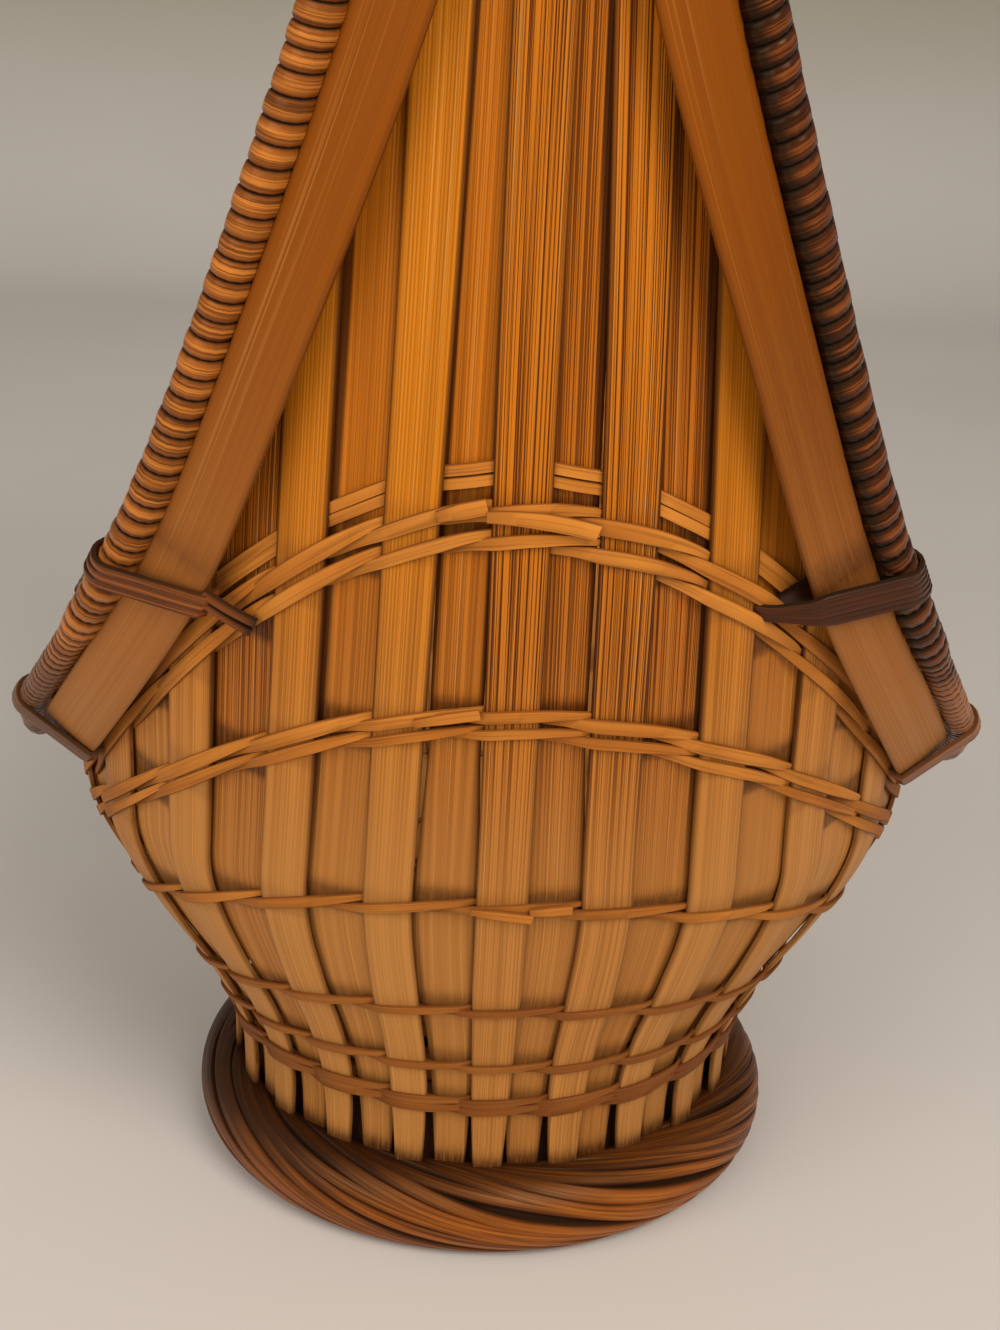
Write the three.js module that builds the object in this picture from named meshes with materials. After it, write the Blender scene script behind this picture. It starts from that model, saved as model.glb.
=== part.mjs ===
// Boat basket of bamboo staves and rattan: a round foot, a flared bowl, two raised prows and a hooped handle.
// Units are millimetres, +Z is up. The prows point along -Y (near) and +Y (far), the low sides lie at +X and -X.
// The origin is the centre of the foot's underside.
import * as THREE from 'three';
import { mergeVertices } from 'three/addons/utils/BufferGeometryUtils.js';

// Clearances
const clearance = 0.3;
const layerGap = 0.4;
const bandClearance = 0.6;

// Foot ring: a rolled border, flat underneath
const footRingOuterRadius = 57;
const footRingInnerRadius = 44;
const footRingHeight = 14.5;
const footRingRounding = 3.5;
const footRingSegments = 48;

// Hull: horizontal ellipses from the flared foot through the neck and the bowl to the prow tips
const footFlareRadius = 53;
const neckRadius = 50;
const neckHeight = 29;
const bowlHalfWidth = 77;
const bowlHeight = 80;
const prowReach = 105;
const tipHeight = 268;

// Flare of the low side, as shares of the rise and the spread from the neck to the bowl
const sideFlare = [
  { rise: 0.275, spread: 0.26 },
  { rise: 0.55, spread: 0.63 },
  { rise: 0.8, spread: 0.905 },
];

// Sweep of the prow, as shares of the rise and the spread from the neck to the tip
const prowSweep = [
  { rise: 0.042, spread: 0.045 },
  { rise: 0.105, spread: 0.145 },
  { rise: 0.205, spread: 0.29 },
  { rise: 0.364, spread: 0.545 },
  { rise: 0.506, spread: 0.727 },
  { rise: 0.8, spread: 0.89 },
];

// Staves: flat strips in two layers, single near each prow's middle and in pairs towards the low sides
const staveThickness = 1.1;
const staveWidth = 8.4;
const footStaveWidth = 6.2;
const footStaveTaper = 55;
const staveEdgeGap = 0.7;
const quarterStrips = 11;
const singleStaves = 6;
const pairsPerQuarter = 2;
const pairCover = 1.8;
const tipCrowding = 0.5;
const crowdingPower = 0.65;
const staveTuck = 3;
const staveSteps = [0.025, 0.045, 0.06, 0.08, 0.107, 0.147, 0.195, 0.258, 0.344, 0.447, 0.557, 0.692, 0.842];

// Woven rows: the share of the rise to the bowl on the low side, of the rise to the tip on the prow's middle,
// and how many splints make up the band
const rowThickness = 1.6;
const splintWidth = 1.6;
const rowSegments = 44;
const rows = [
  { name: 'neck_row', side: 0.02, prow: 0.006, splints: 1.9 },
  { name: 'weave_row_5', side: 0.157, prow: 0.046, splints: 1.9 },
  { name: 'weave_row_4', side: 0.304, prow: 0.105, splints: 2.1 },
  { name: 'weave_row_3', side: 0.569, prow: 0.205, splints: 2.9 },
  { name: 'weave_row_2', side: 0.794, prow: 0.364, splints: 2.9 },
  { name: 'rim_band', side: 0.951, prow: 0.506, splints: 4 },
];

// Base: a woven disc inside the neck
const baseThickness = 2.4;
const baseSegments = 40;

// Rail slats along the prow edges, by shares of the bowl's half width and of the rise from the bowl to the tip
const slatWidth = 11;
const slatTipWidth = 10;
const slatThickness = 1.4;
const slatSteps = 20;
const railSweep = [
  { rise: 0.069, spread: 0.915 },
  { rise: 0.293, spread: 0.621 },
  { rise: 0.447, spread: 0.471 },
  { rise: 0.745, spread: 0.223 },
  { rise: 1, spread: 0.069 },
];

// Hoops: thin rods beside the slats that turn round the low sides and meet over the top as the handle
const hoopRadius = 1.6;
const hoopSides = 6;
const hoopSteps = 88;
const hoopJointGap = 0.6;
const hoopLift = 1.4;
const hoopSideClearance = 2.2;
const hoopTurnInset = 0.8;
const hoopTurnOut = 12;
const hoopTurnRise = 1.7;
const hoopLegStations = [0, 0.05, 0.1, 0.2, 0.32, 0.45, 0.6, 0.75, 0.9, 0.97];
const handleHeight = 350;
const handleCornerOut = 3;
const handleCornerDrop = 42;
const handleShoulderReach = 62;
const handleShoulderDrop = 8;

// Cane: wrapped round the hoops, lashed over the rails and bound round the prow tips
const wrapDiameter = 1.4;
const wrapLoops = 14;
const wrapStepsPerLoop = 8;
const wrapEndLoops = 2;
const wrapEndPitch = 2.2;
const wrapLegStart = 0.03;
const wrapLegEnd = 0.89;
const lashDiameter = 1.2;
const lashLoops = 3;
const lashPitch = 1.9;
const lashStation = 0.27;
const bindingDiameter = 1.8;
const bindingLoops = 4;
const bindingPitch = 2.6;
const bindingDrop = 11;
const caneSides = 4;
const bindingSteps = 16;
const bindingSquareness = 4;
const leastCaneGap = 0.4;

// Colours and finish
const finishes = {
  stave: { color: 0xb9792f, roughness: 0.5, metalness: 0 },
  staveRecessed: { color: 0xa5672a, roughness: 0.55, metalness: 0 },
  weaver: { color: 0xb8702e, roughness: 0.5, metalness: 0 },
  slat: { color: 0xa8681f, roughness: 0.42, metalness: 0 },
  hoop: { color: 0x7a4a22, roughness: 0.5, metalness: 0 },
  wrap: { color: 0x6b3c1f, roughness: 0.38, metalness: 0 },
  lashing: { color: 0x55301c, roughness: 0.4, metalness: 0 },
  foot: { color: 0x7d431c, roughness: 0.45, metalness: 0 },
};

// Heights and offsets that follow from the sizes above
const staveFoot = footRingHeight + clearance;
const recessedOuter = -layerGap;
const recessedInner = recessedOuter - staveThickness;
const rowInner = staveThickness + bandClearance;
const rowOuter = rowInner + rowThickness;
const slatInner = rowOuter + clearance + wrapDiameter + bandClearance;
const slatMiddle = slatInner + slatThickness / 2;
const facetSag = 1 / Math.cos(Math.PI / wrapStepsPerLoop);
const wrapPathRadius = (hoopRadius + clearance + wrapDiameter / 2) * facetSag;
const wrapOuterRadius = wrapPathRadius + wrapDiameter / 2;
const hoopFromSlat = slatWidth / 2 + clearance + wrapOuterRadius;
const hoopSideReach = bowlHalfWidth + rowOuter + hoopSideClearance + wrapOuterRadius;
const bindingHeight = tipHeight - bindingDrop;

const basket = new THREE.Group();

// A smooth curve through stations, by cubic pieces whose slopes follow the neighbours
function smoothThrough(stations) {
  const slope = (index) => {
    const low = stations[Math.max(index - 1, 0)];
    const high = stations[Math.min(index + 1, stations.length - 1)];
    return (high[1] - low[1]) / (high[0] - low[0]);
  };
  return (at) => {
    const last = stations.length - 2;
    const found = stations.findIndex((station, index) => index <= last && at <= stations[index + 1][0]);
    const index = found < 0 ? last : found;
    const [fromAt, fromValue] = stations[index];
    const [toAt, toValue] = stations[index + 1];
    const span = toAt - fromAt;
    const t = THREE.MathUtils.clamp((at - fromAt) / span, 0, 1);
    const rise = toValue - fromValue;
    const startPull = slope(index) * span - rise;
    const endPull = rise - slope(index + 1) * span;
    return fromValue + rise * t + t * (1 - t) * (startPull * (1 - t) + endPull * t);
  };
}

const footStations = [
  [staveFoot, footFlareRadius],
  [neckHeight, neckRadius],
];
const between = THREE.MathUtils.lerp;
const halfWidthAt = smoothThrough([
  ...footStations,
  ...sideFlare.map(({ rise, spread }) => [
    between(neckHeight, bowlHeight, rise),
    between(neckRadius, bowlHalfWidth, spread),
  ]),
  [bowlHeight, bowlHalfWidth],
  [tipHeight, bowlHalfWidth],
]);
const reachAt = smoothThrough([
  ...footStations,
  ...prowSweep.map(({ rise, spread }) => [
    between(neckHeight, tipHeight, rise),
    between(neckRadius, prowReach, spread),
  ]),
  [tipHeight, prowReach],
]);
const railStations = railSweep.map(({ rise, spread }) => ({
  height: between(bowlHeight, tipHeight, rise),
  offset: bowlHalfWidth * spread,
}));
const railOffsetAt = smoothThrough(railStations.map((station) => [station.height, station.offset]));

// A point on the hull, and off it along the outward normal. The angle starts at the prow's middle
function hullPoint(side, angle, height, off) {
  const halfWidth = halfWidthAt(height);
  const reach = reachAt(height);
  const slopeStep = 0.5;
  const widthSlope = (halfWidthAt(height + slopeStep) - halfWidthAt(height - slopeStep)) / (2 * slopeStep);
  const reachSlope = (reachAt(height + slopeStep) - reachAt(height - slopeStep)) / (2 * slopeStep);
  const across = Math.sin(angle);
  const ahead = Math.cos(angle);
  const lean = -(across * across * widthSlope) / halfWidth - (ahead * ahead * reachSlope) / reach;
  const normal = new THREE.Vector3(across / halfWidth, -ahead / reach, lean).normalize();
  const point = new THREE.Vector3(halfWidth * across, -reach * ahead, height).addScaledVector(normal, off);
  return { point: mirrorSide(point, side), normal: mirrorSide(normal, side) };
}

// The far half of the basket is the near half turned over in Y
function mirrorSide(vector, side) {
  return new THREE.Vector3(vector.x, vector.y * side, vector.z);
}

// Solids are closed meshes with shared corners and faces that point outwards
function closedSolid(geometry) {
  geometry.deleteAttribute('normal');
  geometry.deleteAttribute('uv');
  const solid = mergeVertices(geometry, 1e-5);
  const corners = solid.attributes.position;
  const order = solid.index;
  const [a, b, c] = [new THREE.Vector3(), new THREE.Vector3(), new THREE.Vector3()];
  let volume = 0;
  for (let face = 0; face < order.count; face += 3) {
    a.fromBufferAttribute(corners, order.getX(face));
    b.fromBufferAttribute(corners, order.getX(face + 1));
    c.fromBufferAttribute(corners, order.getX(face + 2));
    volume += a.dot(b.cross(c));
  }
  if (volume < 0) {
    for (let face = 0; face < order.count; face += 3) {
      const second = order.getX(face + 1);
      order.setX(face + 1, order.getX(face + 2));
      order.setX(face + 2, second);
    }
  }
  solid.computeVertexNormals();
  return solid;
}

function addPiece(name, geometry, finish) {
  const mesh = new THREE.Mesh(closedSolid(geometry), new THREE.MeshStandardMaterial(finish));
  mesh.name = name;
  basket.add(mesh);
}

// A strip is a box bent into place: across its width, along its length and through its thickness, each 0 to 1
function bentStrip(widthSegments, lengthSegments, place) {
  const geometry = new THREE.BoxGeometry(1, 1, 1, widthSegments, lengthSegments, 1);
  const corners = geometry.attributes.position;
  for (let index = 0; index < corners.count; index += 1) {
    const placed = place(corners.getX(index) + 0.5, corners.getY(index) + 0.5, corners.getZ(index) + 0.5);
    corners.setXYZ(index, placed.x, placed.y, placed.z);
  }
  return geometry;
}

// A band is a four-sided ring bent into place: around its run, and through one of its four corners
function bentBand(segments, place) {
  const geometry = new THREE.TorusGeometry(2, 1, 4, segments);
  const corners = geometry.attributes.position;
  const places = geometry.attributes.uv;
  for (let index = 0; index < corners.count; index += 1) {
    const turn = Math.round(places.getX(index) * segments) % segments;
    const corner = Math.round(places.getY(index) * 4) % 4;
    const placed = place(turn / segments, corner);
    corners.setXYZ(index, placed.x, placed.y, placed.z);
  }
  return geometry;
}

// A rod or cane is a many-sided section drawn along a curve
function drawnTube(curve, radius, sides, steps) {
  const section = new THREE.Shape();
  for (let side = 0; side < sides; side += 1) {
    const turn = (2 * Math.PI * side) / sides;
    const [x, y] = [radius * Math.cos(turn), radius * Math.sin(turn)];
    if (side === 0) section.moveTo(x, y);
    else section.lineTo(x, y);
  }
  section.closePath();
  return new THREE.ExtrudeGeometry(section, { steps, curveSegments: 1, bevelEnabled: false, extrudePath: curve });
}

// Staves crowd towards the middle of the prow as they rise
function staveAngle(strip, height) {
  const share = strip / quarterStrips;
  const climb = Math.max((height - neckHeight) / (tipHeight - neckHeight), 0);
  const crowding = tipCrowding * climb ** crowdingPower;
  return (Math.PI / 2) * ((1 - crowding) * share + crowding * share ** 3);
}

function stripPitch(strip, height) {
  const halfStrip = 0.5;
  const low = hullPoint(1, staveAngle(strip - halfStrip, height), height, 0).point;
  const high = hullPoint(1, staveAngle(strip + halfStrip, height), height, 0).point;
  return low.distanceTo(high);
}

function rimHeight(angle) {
  const rim = rows[rows.length - 1];
  return rowHeight(rim, angle) + bandHeight(rim) / 2 + staveTuck;
}

function bandHeight(row) {
  return row.splints * splintWidth;
}

function rowHeight(row, angle) {
  const side = between(neckHeight, bowlHeight, row.side);
  const prow = between(neckHeight, tipHeight, row.prow);
  return between(side, prow, Math.cos(angle) ** 2);
}

// Half the angle that a stave covers at a height
function staveHalfAngle(stave, height) {
  const halfStrips = stave.cover / 2;
  const wide = staveAngle(stave.strip + halfStrips, height) - staveAngle(stave.strip - halfStrips, height);
  if (stave.paired) return wide / 2;
  const pitch = stripPitch(stave.strip, height);
  const flare = THREE.MathUtils.clamp((height - neckHeight) / footStaveTaper, 0, 1);
  const width = Math.min(between(footStaveWidth, staveWidth, flare), 2 * pitch - staveEdgeGap);
  return (wide * width) / pitch / 2;
}

// A stave ends behind the rail slat, or just above the rim where no slat crosses it
function staveTop(stave) {
  let height = rimHeight(staveAngle(stave.strip, railStations[0].height));
  for (; height < tipHeight; height += 1) {
    const edge = staveAngle(stave.strip, height) + staveHalfAngle(stave, height);
    const offset = halfWidthAt(height) * Math.sin(edge);
    if (offset > railOffsetAt(height) + slatWidth / 2 - staveTuck) return height;
  }
  return tipHeight;
}

function addStave(name, side, hand, stave) {
  const top = staveTop(stave);
  const steps = staveSteps.map((share) => between(staveFoot, tipHeight, share));
  const heights = [staveFoot, ...steps.filter((height) => height < top - staveTuck), top];
  const inner = stave.proud ? 0 : recessedInner;
  const geometry = bentStrip(stave.paired ? 2 : 1, heights.length - 1, (across, along, through) => {
    const height = heights[Math.round(along * (heights.length - 1))];
    const half = staveHalfAngle(stave, height);
    const angle = hand * (staveAngle(stave.strip, height) + (across * 2 - 1) * half);
    return hullPoint(side, angle, height, inner + through * staveThickness).point;
  });
  addPiece(name, geometry, stave.proud ? finishes.stave : finishes.staveRecessed);
}

// Every stave of one quarter, from the prow's middle outwards
function quarterStaves() {
  const staves = [];
  for (let strip = 0; strip <= singleStaves; strip += 1) {
    staves.push({ strip, cover: 1, paired: false, proud: strip % 2 === 0 });
  }
  for (let pair = 0; pair < pairsPerQuarter; pair += 1) {
    const strip = singleStaves + 1.5 + pair * 2;
    staves.push({ strip, cover: pairCover, paired: true, proud: pair % 2 === 1 });
  }
  return staves;
}

const sides = [
  { name: 'near', sign: 1 },
  { name: 'far', sign: -1 },
];
const hands = [
  { name: 'left', sign: -1 },
  { name: 'right', sign: 1 },
];

function addStaves() {
  for (const side of sides) {
    quarterStaves().forEach((stave, index) => {
      if (index === 0) addStave(`stave_${side.name}_middle`, side.sign, 1, stave);
      else {
        for (const hand of hands) {
          addStave(`stave_${side.name}_${hand.name}_${index}`, side.sign, hand.sign, stave);
        }
      }
    });
  }
  const sideStave = { strip: quarterStrips, cover: 1, paired: false, proud: false };
  for (const hand of hands) addStave(`stave_side_${hand.name}`, 1, hand.sign, sideStave);
}

// Woven rows lie on the proud staves and climb from the low sides to the prows
function addRows() {
  for (const row of rows) {
    const geometry = bentBand(rowSegments, (around, corner) => {
      const angle = 2 * Math.PI * around;
      const upper = corner === 1 || corner === 2 ? 0.5 : -0.5;
      const off = corner < 2 ? rowInner : rowOuter;
      return hullPoint(1, angle, rowHeight(row, angle) + upper * bandHeight(row), off).point;
    });
    addPiece(row.name, geometry, finishes.weaver);
  }
}

function addFootRing() {
  const [inner, outer, round] = [footRingInnerRadius, footRingOuterRadius, footRingRounding];
  const profile = [
    [inner + round, 0],
    [outer - round, 0],
    [outer, round],
    [outer, footRingHeight - round],
    [outer - round, footRingHeight],
    [inner + round, footRingHeight],
    [inner, footRingHeight - round],
    [inner, round],
    [inner + round, 0],
  ].map(([radius, height]) => new THREE.Vector2(radius, height));
  const geometry = new THREE.LatheGeometry(profile, footRingSegments);
  geometry.rotateX(Math.PI / 2);
  addPiece('foot_ring', geometry, finishes.foot);
}

function addBase() {
  const facetDepth = 0.2;
  const radius = neckRadius + recessedInner - clearance - facetDepth;
  const geometry = new THREE.CylinderGeometry(radius, radius, baseThickness, baseSegments);
  geometry.rotateX(Math.PI / 2);
  geometry.translate(0, 0, neckHeight);
  addPiece('base_disc', geometry, finishes.weaver);
}

// The rail: its line on the hull from the low end to the tip, with its run, its width direction and its normal
function railLine(side, hand, off) {
  const points = railStations.map((station) => {
    const angle = hand * Math.asin(station.offset / halfWidthAt(station.height));
    return hullPoint(side, angle, station.height, off).point;
  });
  return new THREE.CatmullRomCurve3(points, false, 'centripetal');
}

function railFrame(side, hand, along) {
  const curve = railLine(side, hand, slatMiddle);
  const point = curve.getPointAt(along);
  const run = curve.getTangentAt(along);
  const angle = hand * Math.asin(Math.min(railOffsetAt(point.z) / halfWidthAt(point.z), 1));
  const hullNormal = hullPoint(side, angle, point.z, 0).normal;
  const outboard = new THREE.Vector3().crossVectors(run, hullNormal).normalize();
  const normal = new THREE.Vector3().crossVectors(outboard, run).normalize();
  if (outboard.x * hand < 0) outboard.negate();
  return { point, run, outboard, normal };
}

function railSpot(frame, out, off) {
  return frame.point.clone().addScaledVector(frame.outboard, out).addScaledVector(frame.normal, off);
}

function addSlats(side, hand) {
  const geometry = bentStrip(1, slatSteps, (across, along, through) => {
    const frame = railFrame(side.sign, hand.sign, along);
    const width = slatWidth + (slatTipWidth - slatWidth) * along;
    return railSpot(frame, (across - 0.5) * width, (through - 0.5) * slatThickness);
  });
  addPiece(`rail_slat_${side.name}_${hand.name}`, geometry, finishes.slat);
}

// A hoop's route over one half: round the low side, up beside the slat and over to the middle of the handle
function hoopHalf(side, hand) {
  const spot = (x, y, z) => new THREE.Vector3(x * hand, -y * side, z);
  const leg = hoopLegStations.map((along) => railSpot(railFrame(side, hand, along), hoopFromSlat, hoopLift));
  const pairOffset = wrapOuterRadius + clearance;
  return [
    spot(hoopSideReach, hoopJointGap / 2, bowlHeight),
    spot(hoopSideReach - hoopTurnInset, hoopTurnOut, bowlHeight + hoopTurnRise),
    ...leg,
    spot(pairOffset, prowReach + handleCornerOut, handleHeight - handleCornerDrop),
    spot(pairOffset, handleShoulderReach, handleHeight - handleShoulderDrop),
  ];
}

function hoopCurve(hand) {
  const near = hoopHalf(1, hand);
  const far = hoopHalf(-1, hand);
  const top = new THREE.Vector3((wrapOuterRadius + clearance) * hand, 0, handleHeight);
  return new THREE.CatmullRomCurve3([...near, top, ...far.reverse()], false, 'centripetal');
}

function addHoop(hand) {
  addPiece(`hoop_${hand.name}`, drawnTube(hoopCurve(hand.sign), hoopRadius, hoopSides, hoopSteps), finishes.hoop);
}

// The route of one cane: points in order, with a straight end of one diameter at each end
class CaneRoute extends THREE.Curve {
  constructor(points, diameter) {
    super();
    const first = points[0].clone().sub(points[1]).setLength(diameter).add(points[0]);
    const before = points[points.length - 2];
    const end = points[points.length - 1];
    const last = end.clone().sub(before).setLength(diameter).add(end);
    this.points = [first, ...points, last];
  }

  getPoint(t, target = new THREE.Vector3()) {
    const at = t * (this.points.length - 1);
    const index = Math.min(Math.floor(at), this.points.length - 2);
    return target.lerpVectors(this.points[index], this.points[index + 1], at - index);
  }

  getPointAt(t, target) {
    return this.getPoint(t, target);
  }

  getTangentAt(t, target) {
    return this.getTangent(t, target);
  }
}

// The least gap of a cane to its own other turns, measured between its points
function leastGap(points, diameter, pointsPerLoop) {
  const apart = Math.round(pointsPerLoop / 2);
  let least = Infinity;
  for (let first = 0; first < points.length; first += 1) {
    for (let second = first + apart; second < points.length; second += 1) {
      least = Math.min(least, points[first].distanceTo(points[second]));
    }
  }
  return least - diameter;
}

function addCane(name, points, diameter, pointsPerLoop, finish) {
  const route = new CaneRoute(points, diameter);
  const gap = leastGap(points, diameter, pointsPerLoop);
  const verdict = gap > leastCaneGap ? 'clear' : 'too close';
  console.log(`${name}: least gap to itself ${gap.toFixed(2)} mm, ${verdict}`);
  addPiece(name, drawnTube(route, diameter / 2, caneSides, route.points.length - 1), finish);
}

// One turn round a hoop and the slat beside it, seen along the rail: out is away from the slat
function lashingOutline(diameter, hoopSize) {
  const round = hoopSize + clearance + diameter / 2;
  const flat = slatThickness / 2 + clearance + diameter / 2;
  const inboard = -slatWidth / 2 - clearance - diameter / 2;
  const quarter = Math.PI / 2;
  const turns = [-1, -0.5, 0, 0.5, 1].map((turn) => [
    hoopFromSlat + round * Math.cos(turn * quarter),
    hoopLift + round * Math.sin(turn * quarter),
  ]);
  const slatEdge = slatWidth / 2;
  return [
    ...turns,
    [slatEdge - round, flat],
    [inboard + flat / 2, flat],
    [inboard, flat / 2],
    [inboard, -flat / 2],
    [inboard + flat / 2, -flat],
    [slatEdge - round, -flat],
  ];
}

function outlineLoops(side, hand, along, outline, loops, pitch) {
  const points = [];
  const frame = railFrame(side, hand, along);
  const total = loops * outline.length;
  for (let index = 0; index <= total; index += 1) {
    const [out, off] = outline[index % outline.length];
    const advance = (index / outline.length - loops / 2) * pitch;
    points.push(railSpot(frame, out, off).addScaledVector(frame.run, advance));
  }
  return points;
}

function addLashing(side, hand) {
  const outline = lashingOutline(lashDiameter, wrapOuterRadius);
  const points = outlineLoops(side.sign, hand.sign, lashStation, outline, lashLoops, lashPitch);
  addCane(`rim_lashing_${side.name}_${hand.name}`, points, lashDiameter, outline.length, finishes.lashing);
}

// The wrapping starts with turns that take in the slat's low end, then winds on up the hoop alone
function addWrap(side, hand) {
  const outline = lashingOutline(wrapDiameter, hoopRadius);
  const points = outlineLoops(side.sign, hand.sign, wrapLegStart, outline, wrapEndLoops, wrapEndPitch);
  const legSteps = wrapLoops * wrapStepsPerLoop;
  const first = wrapLegStart + wrapEndPitch * wrapEndLoops / railLine(side.sign, hand.sign, slatMiddle).getLength();
  for (let step = 1; step <= legSteps; step += 1) {
    const along = first + ((wrapLegEnd - first) * step) / legSteps;
    const frame = railFrame(side.sign, hand.sign, along);
    const turn = (2 * Math.PI * step) / wrapStepsPerLoop - Math.PI / 2;
    const out = hoopFromSlat + wrapPathRadius * Math.cos(turn);
    points.push(railSpot(frame, out, hoopLift + wrapPathRadius * Math.sin(turn)));
  }
  addCane(`wrap_${side.name}_${hand.name}`, points, wrapDiameter, wrapStepsPerLoop, finishes.wrap);
}

// The tip binding gathers staves, slats and hoops in flat oval turns
function addTipBinding(side) {
  const reach = reachAt(bindingHeight);
  const lowest = recessedInner - bandClearance - bindingDiameter / 2;
  const highest = slatMiddle + hoopLift + hoopRadius + clearance + bindingDiameter / 2;
  const railOut = railOffsetAt(bindingHeight - (bindingLoops * bindingPitch) / 2) + hoopFromSlat + hoopRadius;
  const halfSpread = railOut + bandClearance + bindingDiameter;
  const halfDepth = (highest - lowest) / 2 + bindingDiameter / 2;
  const points = [];
  for (let step = 0; step <= bindingLoops * bindingSteps; step += 1) {
    const turn = (2 * Math.PI * step) / bindingSteps;
    const [c, s] = [Math.cos(turn), Math.sin(turn)];
    const grow = (Math.abs(c) ** bindingSquareness + Math.abs(s) ** bindingSquareness) ** (-1 / bindingSquareness);
    const rise = (step / bindingSteps - bindingLoops / 2) * bindingPitch;
    const depth = reach + (highest + lowest) / 2 + halfDepth * s * grow;
    points.push(mirrorSide(new THREE.Vector3(halfSpread * c * grow, -depth, bindingHeight + rise), side.sign));
  }
  addCane(`tip_binding_${side.name}`, points, bindingDiameter, bindingSteps, finishes.lashing);
}

addFootRing();
addBase();
addStaves();
addRows();
for (const hand of hands) addHoop(hand);
for (const side of sides) {
  for (const hand of hands) {
    addSlats(side, hand);
    addLashing(side, hand);
    addWrap(side, hand);
  }
  addTipBinding(side);
}

export default basket;
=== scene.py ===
"""Boat basket of bamboo staves, twined splints and wound cane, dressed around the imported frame.

Sizes are in millimetres and are turned into metres where a mesh is made.
The prows point along -Y (near) and +Y (far), and the low sides lie at -X and +X.
"""

import logging
import math
from dataclasses import dataclass, field
from enum import Enum

import bpy
import numpy as np
from mathutils import Matrix


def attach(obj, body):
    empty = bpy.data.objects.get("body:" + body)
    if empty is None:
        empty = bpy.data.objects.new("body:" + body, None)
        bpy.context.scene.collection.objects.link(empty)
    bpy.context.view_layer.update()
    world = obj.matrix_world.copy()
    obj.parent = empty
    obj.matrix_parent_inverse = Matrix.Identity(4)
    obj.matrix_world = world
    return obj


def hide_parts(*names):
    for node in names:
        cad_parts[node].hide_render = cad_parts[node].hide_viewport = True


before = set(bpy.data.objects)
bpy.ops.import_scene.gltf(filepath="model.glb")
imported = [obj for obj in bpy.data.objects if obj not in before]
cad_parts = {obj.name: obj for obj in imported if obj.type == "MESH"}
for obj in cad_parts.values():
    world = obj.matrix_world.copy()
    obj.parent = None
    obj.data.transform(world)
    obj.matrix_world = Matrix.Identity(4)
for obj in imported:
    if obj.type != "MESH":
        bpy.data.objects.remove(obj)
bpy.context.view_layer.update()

Array = np.ndarray
Values = np.ndarray | float
Pair = tuple[float, float]
Triple = tuple[float, float, float]
Colour = tuple[float, float, float, float]
Stations = tuple[Pair, ...]
Piece = bpy.types.Object
Socket = bpy.types.NodeSocket
Feed = Socket | float | tuple
Feeds = dict[str | int, Feed]
MM = 0.001
BODY = "root"
GRAIN = "grain"
UP = np.array([0.0, 0.0, 1.0])
LOG = logging.getLogger("boat_basket")


class Named(Enum):
    """Choices that the frame's names spell in small letters."""

    @property
    def word(self) -> str:
        """The choice as the frame spells it."""
        return self.name.lower()


class Side(Named):
    """The two prows, with the sign that turns the near half into the far half."""

    NEAR = 1.0
    FAR = -1.0


class Hand(Named):
    """The two low sides, with the sign of X."""

    LEFT = -1.0
    RIGHT = 1.0


class Layer(Enum):
    """Staves lie in two layers: every second one stands proud of its neighbours."""

    PROUD = "stave"
    RECESSED = "stave_recessed"


class Section(Enum):
    """Cross-sections as points of (across, through), each from -1 to 1."""

    STRIP = (
        (-1.0, -0.6), (-1.0, 0.45), (-0.94, 0.8), (-0.6, 0.96), (0.0, 1.1), (0.6, 0.96),
        (0.94, 0.8), (1.0, 0.45), (1.0, -0.6), (0.94, -1.0), (0.0, -1.0), (-0.94, -1.0),
    )
    SPLINT = (
        (-1.0, -0.6), (-0.98, 0.6), (-0.86, 1.0), (0.86, 1.0),
        (0.98, 0.6), (1.0, -0.6), (0.8, -1.0), (-0.8, -1.0),
    )
    CANE = (
        (-1.0, -0.9), (-0.97, 0.3), (-0.74, 0.82), (0.0, 1.0),
        (0.74, 0.82), (0.97, 0.3), (1.0, -0.9), (0.0, -1.0),
    )
    ROUND = tuple((math.cos(math.pi * step / 5), math.sin(math.pi * step / 5)) for step in range(10))


def srgb(red: int, green: int, blue: int) -> Colour:
    """A colour as the eye reads it, turned into the linear light that shaders use.

    Args:
        red: Red from 0 to 255.
        green: Green from 0 to 255.
        blue: Blue from 0 to 255.

    Returns:
        Linear red, green, blue and full alpha.
    """
    shares = [value / 255 for value in (red, green, blue)]
    linear = [share / 12.92 if share <= 0.04045 else ((share + 0.055) / 1.055) ** 2.4 for share in shares]
    return *linear, 1.0


def mix(low: Values, high: Values, share: Values) -> Values:
    """The value that lies a share of the way from low to high."""
    return low + (high - low) * share


def ramp(values: Array, start: float, length: float) -> Array:
    """Rises from 0 at the start to 1 a length further on, downwards where the length is negative."""
    return np.clip((values - start) / length, 0, 1)


def smudge(values: Array, middle: float, spread: Values) -> Array:
    """A soft mark that is 1 at its middle and fades over its spread."""
    return np.exp(-((values - middle) / spread) ** 2)


def unit(vectors: Array) -> Array:
    """Vectors of length one, along the last axis."""
    return vectors / np.maximum(np.linalg.norm(vectors, axis=-1, keepdims=True), 1e-9)


def run_of(route: Array) -> Array:
    """The way that an open route runs at each of its points."""
    return unit(np.gradient(route, axis=0))


def lengths_along(route: Array) -> Array:
    """Running length of a route at each of its points."""
    return np.concatenate([[0.0], np.cumsum(np.linalg.norm(np.diff(route, axis=0), axis=1))])


def read_off(places: Array, run: Array, rows: Array) -> Array:
    """Rows of numbers, such as points, at places along a run."""
    return np.stack([np.interp(places, run, column) for column in rows.T], axis=1)


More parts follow.
